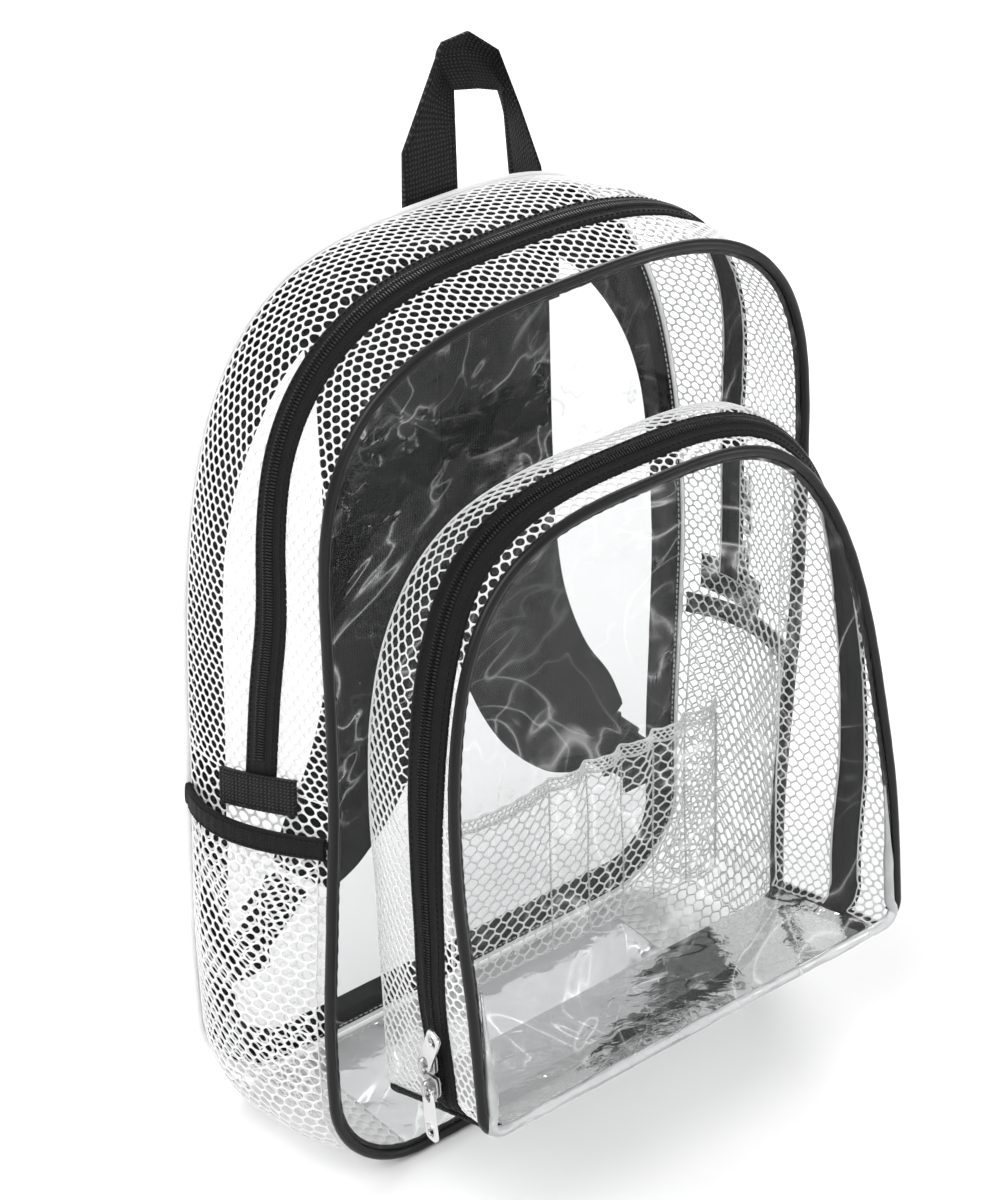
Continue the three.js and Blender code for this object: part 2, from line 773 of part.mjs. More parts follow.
function addPocketFoot() {
  const us = pocketRim.between(0.0006 - pocketEnd, pocketEnd - 0.0006);
  const foot = (share, v, proud) => beltPoint(share, v * (1 - beltShare(share, seamInset)), proud);
  addPiece(
    "pocket_bottom_panel",
    sheet({ us, vs: [0, 0.5, 1], at: foot, wall: panelWall }),
    "clear",
  );
  const halfTab = 0.005; // share of the girth
  for (const { name, sign } of sides) {
    const tab = (share, v, proud) => {
      const across = lerp(0.04, 1 - beltShare(share, seamInset), v);
      return beltPoint(onSide(sign, share), across, 3 * fit + webbingWall + proud);
    };
    addPiece(
      `pocket_end_${name}`,
      sheet({
        us: [pocketEnd - halfTab, pocketEnd, pocketEnd + halfTab],
        vs: [0, 0.5, 1],
        at: tab,
        wall: webbingWall,
      }),
      "webbing",
    );
  }
}

function addPocketFront() {
  const depthAt = (x, z, proud) => {
    const up = THREE.MathUtils.clamp(rimUp(z), 0, 1);
    const aside = THREE.MathUtils.clamp((2 * Math.abs(x)) / pocketRimWidth, 0, 1);
    const dome = pocketDome * Math.sin(Math.PI * up) * (1 - aside * aside);
    return rimDepth(z) - dome - panelWall / 2 - proud;
  };
  const inset = seamInset;
  const panel = archPanel({ arch: pocketRim, inset, columns: 6, depthAt, wall: panelWall });
  addPiece("pocket_front_panel", panel, "clear");
  addPiece("pocket_piping", pipingGeometry(pocketRim, rimDepth), "piping");
}

const organizerSeams = [-1, -0.28, 0, 0.26, 0.5, 0.75, 1]; // as shares of half its width
const organizerBinding = 8;

// A net with pen slots on the main front panel, inside the pocket.
function addOrganizer() {
  const half = organizerWidth / 2;
  const middles = organizerSeams.slice(1).map((seam, k) => (seam + organizerSeams[k]) / 2);
  const us = [...organizerSeams, ...middles].sort((a, b) => a - b);
  const puff = (u) => {
    const k = Math.max(organizerSeams.findIndex((seam) => u <= seam), 1);
    const [low, high] = [organizerSeams[k - 1], organizerSeams[k]];
    return organizerPuff * Math.sin((Math.PI * (u - low)) / (high - low));
  };
  const at = (u, z, proud) => {
    const x = half * u;
    const opened = smooth(z, organizerFoot, organizerTop);
    const away = 2 * fit + netWall + puff(u) * opened + proud;
    return new THREE.Vector3(x, frontFace(x, z) - away, z);
  };
  const hem = organizerTop - organizerBinding;
  const vs = spread(organizerFoot, hem - fit, 2);
  const net = netSheet({ us, vs, at, wall: netWall, gapRadius: 7, every: 2 });
  addPiece("organizer_net", net, "net");
  const binding = sheet({ us, vs: [hem, organizerTop], at, wall: netWall });
  addPiece("organizer_binding", binding, "net");
}

// Edges of the haul loop, from its left foot to its right foot: aside as shares of the loop's
// width, up as shares of its height, back as shares of its lean, cup as shares of its curl.
const loopTable = [
  { outer: -0.46, outerUp: 0, inner: -0.11, innerUp: 0, back: 0, cup: 0 },
  { outer: -0.43, outerUp: 0.57, inner: -0.11, innerUp: 0.56, back: 0, cup: 0 },
  { outer: -0.29, outerUp: 0.78, inner: -0.11, innerUp: 0.68, back: 0.1, cup: 0.3 },
  { outer: -0.14, outerUp: 0.99, inner: -0.11, innerUp: 0.78, back: 0.3, cup: 1 },
  { outer: 0.03, outerUp: 1, inner: 0.04, innerUp: 0.75, back: 0.35, cup: 1 },
  { outer: 0.2, outerUp: 0.88, inner: 0.2, innerUp: 0.7, back: 0.3, cup: 1 },
  { outer: 0.35, outerUp: 0.58, inner: 0.215, innerUp: 0.5, back: 0.6, cup: 0.2 },
  { outer: 0.51, outerUp: 0.24, inner: 0.235, innerUp: 0.24, back: 1, cup: 0 },
  { outer: 0.54, outerUp: 0, inner: 0.235, innerUp: 0, back: 1, cup: 0 },
];

function addHaulLoop() {
  const behind = backSeam + pipingRadius + fit;
  const at = (row, v, proud) => {
    const edge = loopTable[row];
    const x = loopOffset + loopWidth * lerp(edge.inner, edge.outer, v);
    const z = loopFoot + (loopTop - loopFoot) * lerp(edge.innerUp, edge.outerUp, v);
    const curl = loopCurl * edge.cup * Math.sin(Math.PI * v);
    return new THREE.Vector3(x, behind + loopLean * edge.back * v + curl - proud, z);
  };
  const us = loopTable.map((_, row) => row);
  addPiece("haul_loop", sheet({ us, vs: [0, 0.5, 1], at, wall: webbingWall }), "webbing");
}

const strapFace = backSeam + panelWall / 2 + fit;

// Middle line of a strap: down as shares of its height, aside as shares of its spread.
const strapTable = [
  { down: 0, aside: 0, wide: 1 },
  { down: 0.3, aside: 0, wide: 1 },
  { down: 0.52, aside: 0.03, wide: 1 },
  { down: 0.68, aside: 0.14, wide: 1 },
  { down: 0.83, aside: 0.4, wide: 0.95 },
  { down: 0.93, aside: 0.72, wide: 0.85 },
  { down: 1, aside: 1, wide: 0.62 },
];

function strapLine(sign) {
  const points = strapTable.map(({ down, aside }) => {
    const x = sign * (strapSpacing / 2 + strapSpread * aside);
    return new THREE.Vector3(x, strapFace, lerp(strapTop, strapFoot, down));
  });
  return new THREE.CatmullRomCurve3(points);
}

function addStraps() {
  const yoke = new THREE.BoxGeometry(yokeWidth, webbingWall, yokeHeight);
  yoke.translate(0, strapFace + webbingWall / 2, strapTop + fit + yokeHeight / 2);
  addPiece("strap_yoke", yoke, "cloth");
  for (const { name, sign } of sides) {
    const line = strapLine(sign);
    const pad = (u, v, proud) => {
      const point = line.getPointAt(v);
      const ahead = line.getTangentAt(v);
      const aside = new THREE.Vector3(-ahead.z, 0, ahead.x);
      const wide = along(strapTable, v, "down", "wide");
      const round = 1 - 0.65 * u ** 4;
      const thick = proud < 0 ? 0 : strapThickness * round;
      return point.addScaledVector(aside, (u * wide * strapWidth) / 2).setY(strapFace + thick);
    };
    const grid = { us: spread(-1, 1, 6), vs: spread(0, 1, 9) };
    addPiece(`shoulder_strap_${name}`, sheet({ ...grid, at: pad, wall: strapThickness }), "cloth");
    addStrapWebbing(sign, name, line);
  }
}

// Webbing from the strap's end through a ladder lock to an anchor patch near the corner.
function addStrapWebbing(sign, name, line) {
  const end = line.getPointAt(1);
  const anchor = new THREE.Vector3((sign * anchorSpacing) / 2 - backSway / 2, end.y, anchorHeight);
  const ahead = anchor.clone().sub(end).normalize();
  const start = end.clone().addScaledVector(ahead, 5);
  const run = new THREE.Group();
  run.position.copy(start).setY(strapFace + webbingWall + fit);
  run.quaternion.setFromUnitVectors(new THREE.Vector3(0, 0, -1), ahead);
  bag.add(run);
  const length = start.distanceTo(anchor);
  const strip = new THREE.BoxGeometry(webbingWidth, webbingWall, length);
  strip.translate(0, webbingWall / 2, -length / 2);
  addPiece(`strap_webbing_${name}`, strip, "webbing", run);
  const [halfWide, halfHigh] = [lockWidth / 2, lockHeight / 2];
  const frame = new THREE.Shape();
  frame.moveTo(-halfWide, -halfHigh);
  frame.lineTo(halfWide, -halfHigh);
  frame.lineTo(halfWide, halfHigh);
  frame.lineTo(-halfWide, halfHigh);
  for (const height of [-0.5, 0.5]) {
    const slot = new THREE.Path();
    const [low, high] = [height * halfHigh - 2, height * halfHigh + 2];
    slot.moveTo(-webbingWidth / 2 - 1, low);
    slot.lineTo(-webbingWidth / 2 - 1, high);
    slot.lineTo(webbingWidth / 2 + 1, high);
    slot.lineTo(webbingWidth / 2 + 1, low);
    frame.holes.push(slot);
  }
  const lock = new THREE.ExtrudeGeometry(frame, { depth: lockWall, bevelEnabled: false });
  lock.rotateX(Math.PI / 2);
  lock.translate(0, webbingWall + fit + lockWall, -halfHigh - 1);
  addPiece(`ladder_lock_${name}`, lock, "plastic", run);
  const patch = new THREE.BoxGeometry(webbingWidth + 6, webbingWall, webbingWidth - 4);
  patch.translate(anchor.x, strapFace + webbingWall / 2, anchorHeight);
  addPiece(`strap_anchor_${name}`, patch, "webbing");
}

// Slider body and the arched bail that holds its pull. The pull's pin is at the origin, +X runs
// down the zipper and +Y away from it.
function sliderGeometry() {
  const top = -bailGap;
  const side = new THREE.Shape();
  const reach = bailWindow / 2 + bailWire;
  const crown = pinRadius + fit;
  side.moveTo(-sliderLength / 2, top - sliderBody);
  side.lineTo(sliderLength / 2, top - sliderBody);
  side.lineTo(sliderLength / 2, top);
  side.lineTo(-sliderLength / 2, top);
  const body = new THREE.ExtrudeGeometry(side, { depth: sliderWidth, bevelEnabled: false });
  body.translate(0, 0, -sliderWidth / 2);
  const arch = new THREE.Shape();
  arch.moveTo(-reach, top - 0.5);
  arch.lineTo(-bailWindow / 2, top - 0.5);
  arch.lineTo(-bailWindow / 2, crown);
  arch.lineTo(bailWindow / 2, crown);
  arch.lineTo(bailWindow / 2, top - 0.5);
  arch.lineTo(reach, top - 0.5);
  arch.lineTo(reach, crown);
  arch.lineTo(bailWindow / 2, crown + bailWire);
  arch.lineTo(-bailWindow / 2, crown + bailWire);
  arch.lineTo(-reach, crown);
  const bail = new THREE.ExtrudeGeometry(arch, { depth: bailWidth, bevelEnabled: false });
  bail.translate(0, 0, -bailWidth / 2);
  return toGeometry(toSolid(body).add(toSolid(bail)));
}

// A flat pull that hangs along +X from its pin at the origin; skew turns its plate on the pin.
function pullGeometry(skew) {
  const half = pullWidth / 2;
  const plate = new THREE.Shape();
  plate.moveTo(-0.8 * pinRadius, -half + 1);
  plate.lineTo(pinRadius, -half);
  plate.lineTo(pullLength - 2, -half);
  plate.lineTo(pullLength, -half + 2);
  plate.lineTo(pullLength, half - 2);
  plate.lineTo(pullLength - 2, half);
  plate.lineTo(pinRadius, half);
  plate.lineTo(-0.8 * pinRadius, half - 1);
  const grip = new THREE.Path();
  grip.absarc(pullLength - 5.5, 0, 2.9, 0, 2 * Math.PI, true);
  plate.holes.push(grip);
  const solid = new THREE.ExtrudeGeometry(plate, {
    depth: pullWall,
    curveSegments: 5,
    bevelEnabled: false,
  });
  solid.translate(0, 0, -pullWall / 2);
  solid.rotateZ(skew);
  const eye = new THREE.BoxGeometry(pullEye, bailWidth + 2.4, 3 * pullWall);
  eye.translate(pullEye / 2, 0, 0);
  // A leaning plate is cut off behind its pin, so that it clears the slider as it swings.
  const nose = new THREE.BoxGeometry(pullWidth, 2 * pullWidth, 3 * pullWall);
  nose.translate(-1.2 * pinRadius - pullWidth / 2, 0, 0);
  const bare = toSolid(solid).subtract(toSolid(eye)).subtract(toSolid(nose));
  const pin = new THREE.CylinderGeometry(pinRadius, pinRadius, pullWidth - 1, 12);
  return toGeometry(bare.add(toSolid(pin))).rotateX(Math.PI / 2);
}

// Puts a slider and its pull on a zipper, square to the surface that at(share, across) gives.
function addSlider({ name, pullName, at, share, across, step, raised, skew }) {
  const seat = at(share, across);
  const down = at(share + 0.003, across).sub(at(share - 0.003, across));
  if (down.z > 0) down.negate();
  const aside = at(share, across + step).sub(at(share, across - step));
  const away = down.clone().cross(aside).normalize();
  if (away.x * seat.x < 0) away.negate();
  down.normalize();
  const holder = new THREE.Group();
  const turn = new THREE.Matrix4().makeBasis(down, away, down.clone().cross(away));
  holder.quaternion.setFromRotationMatrix(turn);
  holder.position.copy(seat).addScaledVector(away, sliderBody + bailGap + 2 * fit);
  bag.add(holder);
  addPiece(name, sliderGeometry(), "metal", holder);
  const pull = addPiece(pullName, pullGeometry(skew), "metal", holder);
  if (raised) pull.rotation.z = Math.PI;
}

function addSliders() {
  const coilTop = fit + coilHeight;
  const onGusset = (share, across) => gussetPoint(share, across, coilTop);
  const onBelt = (share, across) => beltPoint(share, across, coilTop);
  for (const [k, level] of ["upper", "lower"].entries()) {
    const height = mainSliderHeight - k * mainSliderSpacing;
    const share = mainSeam.shareAt(height);
    addSlider({
      name: `main_slider_${level}`,
      pullName: `main_pull_${level}`,
      at: onGusset,
      share,
      across: zipperMiddle(share),
      step: 1,
      raised: false,
      skew: 0,
    });
    const beltPlace = pocketSliderShare(k);
    addSlider({
      name: `pocket_slider_${level}`,
      pullName: `pocket_pull_${level}`,
      at: onBelt,
      share: beltPlace,
      across: pocketMiddle(beltPlace),
      step: 0.02,
      raised: k === 0,
      skew: k === 0 ? -degrees(pullSkew) : 0,
    });
  }
}

addMainPanels();
addBackBorder();
addMainPiping();
addZippedCrown();
addGussetSides();
addSidePockets();
addPocketBelt();
addPocketFoot();
addPocketFront();
addOrganizer();
addHaulLoop();
addStraps();
addSliders();

export default bag;
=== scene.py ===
import math
import bpy
import numpy as np
from mathutils import Matrix, Vector


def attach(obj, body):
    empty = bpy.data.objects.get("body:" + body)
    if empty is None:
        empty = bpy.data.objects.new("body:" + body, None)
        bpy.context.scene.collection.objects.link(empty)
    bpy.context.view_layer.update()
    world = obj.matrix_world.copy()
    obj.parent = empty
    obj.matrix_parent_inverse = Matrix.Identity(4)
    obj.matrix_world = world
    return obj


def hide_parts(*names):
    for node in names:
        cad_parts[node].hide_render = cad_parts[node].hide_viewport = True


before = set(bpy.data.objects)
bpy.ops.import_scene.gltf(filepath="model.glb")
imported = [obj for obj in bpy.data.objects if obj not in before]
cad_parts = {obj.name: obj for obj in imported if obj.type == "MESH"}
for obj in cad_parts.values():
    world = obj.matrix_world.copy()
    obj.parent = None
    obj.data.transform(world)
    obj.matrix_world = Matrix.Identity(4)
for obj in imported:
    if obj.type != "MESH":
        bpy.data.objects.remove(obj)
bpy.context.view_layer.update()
scene = bpy.context.scene
print("frame loaded:", len(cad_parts), "nodes")

# Sizes are millimetres, as in the CAD; meshes are written in metres.
bag = dict(width=287, depth=100, lift=3, height=432, shoulder=300, corner=50, inset=2.95, swell=7, sag=3)
pocket = dict(foot=72, top=354, deep=84, width=264)
zipperEnd = 200
leftLift = 20
fit = 0.35


def readTable(rows, place):
    # a smooth value from rows of (key, value)
    keys, values = np.array(rows, float).T
    spot = np.clip(np.asarray(place, float), keys[0], keys[-1])
    k = np.clip(np.searchsorted(keys, spot), 1, len(keys) - 1)
    last = len(keys) - 1

    def slope(row):
        a, b = np.maximum(row - 1, 0), np.minimum(row + 1, last)
        return (values[b] - values[a]) / (keys[b] - keys[a])

    step = keys[k] - keys[k - 1]
    t = (spot - keys[k - 1]) / step
    ease = t * t * (3 - 2 * t)
    bend = t * (1 - t) ** 2 * step * slope(k - 1) + t * t * (t - 1) * step * slope(k)
    return values[k - 1] + (values[k] - values[k - 1]) * ease + bend


def smooth(value, low, high):
    t = np.clip((np.asarray(value, float) - low) / (high - low), 0, 1)
    return t * t * (3 - 2 * t)


def softNoise(x, y, seed):
    # smooth noise from -1 to 1, the same on every run
    x, y = np.asarray(x, float), np.asarray(y, float)
    ix, iy = np.floor(x), np.floor(y)
    fx, fy = x - ix, y - iy
    fx, fy = fx ** 3 * (fx * (fx * 6 - 15) + 10), fy ** 3 * (fy * (fy * 6 - 15) + 10)

    def corner(i, j):
        h = np.sin(i * 127.1 + j * 311.7 + seed * 74.7) * 43758.5453
        return (h - np.floor(h)) * 2 - 1

    low = corner(ix, iy) * (1 - fx) + corner(ix + 1, iy) * fx
    high = corner(ix, iy + 1) * (1 - fx) + corner(ix + 1, iy + 1) * fx
    return low * (1 - fy) + high * fy


class Outline:
    # an arched seam in the XZ plane, read by share of its length from mid foot round to the right
    leanRows = [(0, -1), (.2, -1.1), (.36, -.67), (.5, -.23), (.7, -.07), (1, -.14)]

    def __init__(self, width, foot, top, shoulder, radius, power, lean=0, crownLean=0):
        half = width / 2
        self.foot, self.top = foot, top
        h = np.linspace(0, 1, 6001)
        turn = (h - .2) / .15 * math.pi / 2
        arch = np.clip((h - .5) / .5, 0, 1) * math.pi / 2
        x = np.select([h < .2, h < .35, h < .5],
                      [h / .2 * (half - radius), half - radius + radius * np.sin(turn), half],
                      half * np.maximum(np.cos(arch), 0) ** power)
        straight = foot + radius + (h - .35) / .15 * (shoulder - foot - radius)
        z = np.select([h < .2, h < .35, h < .5],
                      [foot, foot + radius - radius * np.cos(turn), straight],
                      shoulder + (top - shoulder) * np.sin(arch) ** power)
        aside = lean * readTable(self.leanRows, (z - bag["lift"]) / bag["height"])
        aside = aside + crownLean * smooth(z, shoulder, top)
        self.x = np.concatenate([x + aside, (aside - x)[-2::-1]])
        self.z = np.concatenate([z, z[-2::-1]])
        run = np.concatenate([[0], np.cumsum(np.hypot(np.diff(self.x), np.diff(self.z)))])
        self.length = run[-1]
        self.share = run / run[-1]

    def place(self, share):
        share = np.mod(share, 1)
        return np.interp(share, self.share, self.x), np.interp(share, self.share, self.z)

    def walk(self, share):
        # x, z and the outward direction
        (ax, az), (bx, bz) = self.place(share - .004), self.place(share + .004)
        size = np.hypot(bx - ax, bz - az)
        x, z = self.place(share)
        return x, z, (bz - az) / size, -(bx - ax) / size

    def shareAt(self, height):
        half = len(self.share) // 2
        return np.interp(height, self.z[:half], self.share[:half])


mainSeam = Outline(bag["width"], 3, 435, bag["shoulder"], bag["corner"], .63, lean=12)
backArch = Outline(312, 3, 440, 120, bag["corner"], .6, lean=8, crownLean=-3)
pocketSeam = Outline(254, 46, 353, 224, 12, .625, crownLean=11)
pocketRim = Outline(pocket["width"], pocket["foot"], pocket["top"], 96, 12, .6)

# the zipper ends higher on the left side than on the right
sides = [("right", 1, 0), ("left", -1, leftLift)]
zipperStart = mainSeam.shareAt(zipperEnd + fit)
zipperLast = 1 - mainSeam.shareAt(zipperEnd + leftLift + fit)
cornerStart = mainSeam.shareAt(bag["lift"] + .2)
pocketEnd = pocketSeam.shareAt(46 + .35 * 12)


def gussetPoint(share, across, proud):
    x, z, outX, outZ = mainSeam.walk(share)
    belly = bag["swell"] * smooth(z, 53, 150)
    belly = belly * np.sin(np.pi * np.clip(across / bag["depth"], 0, 1) ** 1.3)
    away = belly + bag["sag"] * (1 - smooth(z, 3, 53)) + proud
    (behindX, behindZ), part = backArch.place(share), across / bag["depth"]
    x, z = x + (behindX - x) * part, z + (behindZ - z) * part
    return np.stack(np.broadcast_arrays(x + outX * away, across - 50., z + outZ * away), -1)


def zipperMiddle(share):
    rows = [(0, .43), (.07, .39), (.14, .335), (.2, .345), (.26, .375), (.38, .41),
            (.5, .42), (.62, .41), (.75, .5), (.86, .61), (1, .64)]
    return 100 * readTable(rows, (zipperLast - share) / (zipperLast - zipperStart))


def pocketMiddle(share):
    rows = [(0, .6), (.08, .6), (.16, .68), (.25, .73), (.32, .7), (.39, .6),
            (.5, .55), (.6, .59), (.7, .7), (.8, .7), (.92, .6), (1, .6)]
    return readTable(rows, (1 - pocketEnd - share) / (1 - 2 * pocketEnd))


def frontFace(x, z):
    face = -50.5
    for across, up, wide, deep in [(-.28, .84, .136, 2.5), (.3, .88, .088, 1.5), (-.42, .5, .082, 1.5)]:
        reach = (x - across * bag["width"]) ** 2 + (z - up * bag["height"]) ** 2
        face = face + deep * np.exp(-reach / (2 * (wide * bag["width"]) ** 2))
    return face


def rimDepth(height):
    rows = [(0, 1), (.25, .93), (.45, .82), (.7, .7), (.9, .61), (1, .6)]
    up = (height - pocket["foot"]) / (pocket["top"] - pocket["foot"])
    return -50 - pocket["deep"] * readTable(rows, up)


def beltPoint(share, across, proud):
    # across is 0 at the pocket's seam and 1 at its rim
    x0, z0, _, _ = pocketSeam.walk(share)
    x1, z1, outX, outZ = pocketRim.walk(share)
    away = 5 * smooth(z0, pocket["foot"], 2 * pocket["foot"]) * np.sin(np.pi * across) + proud
    y0, y1 = frontFace(x0, z0) - 3 * fit, rimDepth(z1)
    point = [x0 + (x1 - x0) * across + outX * away, y0 + (y1 - y0) * across,
             z0 + (z1 - z0) * across + outZ * away]
    return np.stack(np.broadcast_arrays(*point), -1)


def beltShare(share, millimetres):
    size = np.linalg.norm(beltPoint(share, 0, 0) - beltPoint(share, 1, 0), axis=-1)
    return millimetres / size


def makePiece(name, points, faces, looks, lay=None, faceLook=None, flat=False):
    # points in millimetres; lay is a distance along and across for the weaves, in metres
    mesh = bpy.data.meshes.new(name)
    mesh.from_pydata((np.asarray(points, float) / 1000).tolist(), [], faces)
    looks = looks if isinstance(looks, list) else [looks]
    for look in looks:
        mesh.materials.append(look)
    if faceLook is not None:
        mesh.polygons.foreach_set("material_index", np.asarray(faceLook, np.int32))
    if lay is not None:
        corners = np.zeros(len(mesh.loops), np.int32)
        mesh.loops.foreach_get("vertex_index", corners)
        layer = mesh.uv_layers.new(name="lay")
        layer.data.foreach_set("uv", np.asarray(lay, np.float32)[corners].ravel())
    mesh.polygons.foreach_set("use_smooth", [not flat] * len(mesh.polygons))
    mesh.validate()
    mesh.update()
    piece = bpy.data.objects.new(name, mesh)
    scene.collection.objects.link(piece)
    return piece


def bake(piece):
    # turns a piece's modifiers into its mesh
    graph = bpy.context.evaluated_depsgraph_get()
    mesh = bpy.data.meshes.new_from_object(piece.evaluated_get(graph))
    piece.modifiers.clear()
    piece.data = mesh
    return piece


def wear(piece, slot, *nodes, body="bag"):
    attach(piece, body)
    if nodes:
        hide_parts(*nodes)
    return piece


def gridLay(points):
    # distances along and across a grid of points, in metres
    along = np.linalg.norm(np.diff(points, axis=0), axis=-1).mean(1)
    along = np.concatenate([[0], np.cumsum(along)])[:, None]
    across = np.linalg.norm(np.diff(points, axis=1), axis=-1)
    across = np.concatenate([np.zeros((len(points), 1)), np.cumsum(across, 1)], 1)
    return np.stack(np.broadcast_arrays(along, across), -1).reshape(-1, 2) / 1000


def sheetPiece(name, us, vs, at, look, wall=0.0):
    # a grid over us and vs; with a wall it is a closed sheet of that thickness
    u, v = np.meshgrid(us, vs, indexing="ij")
    outer = at(u, v, 0.0)
    rows, columns = u.shape
    cell = np.arange(rows * columns).reshape(rows, columns)
    quads = np.stack([cell[:-1, :-1], cell[1:, :-1], cell[1:, 1:], cell[:-1, 1:]], -1)
    quads = quads.reshape(-1, 4)
    lay = gridLay(outer)
    if not wall:
        return makePiece(name, outer.reshape(-1, 3), quads.tolist(), look, lay)
    inner = at(u, v, -wall)
    size = rows * columns
    rim = np.concatenate([cell[:, 0], cell[-1, 1:], cell[-2::-1, -1], cell[0, -2:0:-1]])
    ahead = np.roll(rim, -1)
    sides = np.stack([rim, rim + size, ahead + size, ahead], -1)
    faces = np.concatenate([quads, quads[:, ::-1] + size, sides])
    points = np.concatenate([outer.reshape(-1, 3), inner.reshape(-1, 3)])
    return makePiece(name, points, faces.tolist(), look, np.concatenate([lay, lay]))


def tubePiece(name, path, radius, look, sides=10, closed=False):
    # a round tube along points; its frame turns as little as it can
    path = np.asarray(path, float)
    ahead = np.gradient(path, axis=0)
    if closed:
        ahead = np.roll(path, -1, 0) - np.roll(path, 1, 0)
    ahead /= np.linalg.norm(ahead, axis=1)[:, None]
    side = np.cross(ahead[0], [0, 1, 0] if abs(ahead[0][1]) < .9 else [1, 0, 0])
    rings = []
    radii = np.broadcast_to(radius, len(path))
    for point, way, size in zip(path, ahead, radii):
        side = side - way * (side @ way)
        side /= np.linalg.norm(side)
        up = np.cross(way, side)
        turn = np.linspace(0, 2 * np.pi, sides, endpoint=False)[:, None]
        rings.append(point + size * (np.cos(turn) * side + np.sin(turn) * up))
    points = np.concatenate(rings)
    count, faces = len(path), []
    for k in range(count if closed else count - 1):
        a, b = k * sides, (k + 1) % count * sides
        faces += [(a + i, a + (i + 1) % sides, b + (i + 1) % sides, b + i) for i in range(sides)]
    if not closed:
        faces += [tuple(range(sides))[::-1], tuple(range((count - 1) * sides, count * sides))]
    run = np.concatenate([[0], np.cumsum(np.linalg.norm(np.diff(path, axis=0), axis=1))])
    lay = np.stack([np.repeat(run, sides), np.tile(np.arange(sides), count)], -1) / 1000
    return makePiece(name, points, faces, look, lay)


def joinPieces(name, pieces):
    # one mesh of several, keeping their materials
    looks, points, faces, faceLook, lay, start = [], [], [], [], [], 0
    for piece in pieces:
        mesh = piece.data
        slots = []
        for look in mesh.materials:
            if look not in looks:
                looks.append(look)
            slots.append(looks.index(look))
        co = np.zeros(len(mesh.vertices) * 3, np.float32)
        mesh.vertices.foreach_get("co", co)
        points.append(co.reshape(-1, 3) * 1000)
        faces += [[v + start for v in face.vertices] for face in mesh.polygons]
        faceLook += [slots[face.material_index] for face in mesh.polygons]
        spots = np.zeros((len(mesh.vertices), 2), np.float32)
        if mesh.uv_layers:
            uv = np.zeros(len(mesh.loops) * 2, np.float32)
            mesh.uv_layers[0].data.foreach_get("uv", uv)
            corner = np.zeros(len(mesh.loops), np.int32)
            mesh.loops.foreach_get("vertex_index", corner)
            spots[corner] = uv.reshape(-1, 2)
        lay.append(spots)
        start += len(mesh.vertices)
        bpy.data.objects.remove(piece)
    return makePiece(name, np.concatenate(points), faces, looks, np.concatenate(lay), faceLook)


net = dict(cellWidth=7.2, rowStep=5.0, upright=.5, strand=1.2, slack=.5)


def netPiece(name, start, end, at, low, high, look, seed=1, rounds=1, size=1.):
    # open six-sided cells; start and end run along the girth, low and high across it, in mm
    step, wide = net["rowStep"] * size, net["cellWidth"] * size
    half = np.array([.5 * net["upright"] * step, (1 - .5 * net["upright"]) * step])
    corners = np.array([(half[1], 0), (half[0], wide / 2), (-half[0], wide / 2),
                        (-half[1], 0), (-half[0], -wide / 2), (half[0], -wide / 2)])
    rows = np.arange(math.floor(start / step) - 1, math.ceil(end / step) + 2)
    widest = np.arange(-2, math.ceil(np.max(high(np.linspace(start, end, 200))) / wide) + 3)
    r, c = [axis.ravel() for axis in np.meshgrid(rows, widest, indexing="ij")]
    middle = np.stack([r * step, (c + .5 * (r % 2)) * wide], -1)
    cells = middle[:, None] + corners[None]
    keys = np.round(cells * 50).astype(int).reshape(-1, 2)
    places, index = np.unique(keys, axis=0, return_inverse=True)
    places, index = places / 50, index.reshape(-1, 6)
    s, w = places.T
    s, w = (s + net["slack"] * softNoise(s / 19, w / 17, seed),
            w + net["slack"] * softNoise(s / 23 + 9, w / 15, seed + 3))
    s = np.clip(s, start, end)
    w = np.clip(w, low(s), high(s))
    flat = np.stack([s, w], -1)
    a, b = flat[index], flat[np.roll(index, -1, 1)]
    area = .5 * np.abs((a[..., 0] * b[..., 1] - a[..., 1] * b[..., 0]).sum(1))
    index = index[area > .12 * step * wide]
    used, index = np.unique(index, return_inverse=True)
    index = index.reshape(-1, 6)
    points = at(s[used], w[used])
    piece = makePiece(name, points, index.tolist(), look)
    weld = piece.modifiers.new("weld", "WELD")
    weld.merge_threshold = .0004
    strand = piece.modifiers.new("strand", "WIREFRAME")
    strand.thickness = net["strand"] / 1000
    strand.use_even_offset = False
    strand.use_boundary = True
    if rounds:
        piece.modifiers.new("round", "SUBSURF").levels = rounds
    bake(piece)
    piece.data.polygons.foreach_set("use_smooth", [True] * len(piece.data.polygons))
    return piece


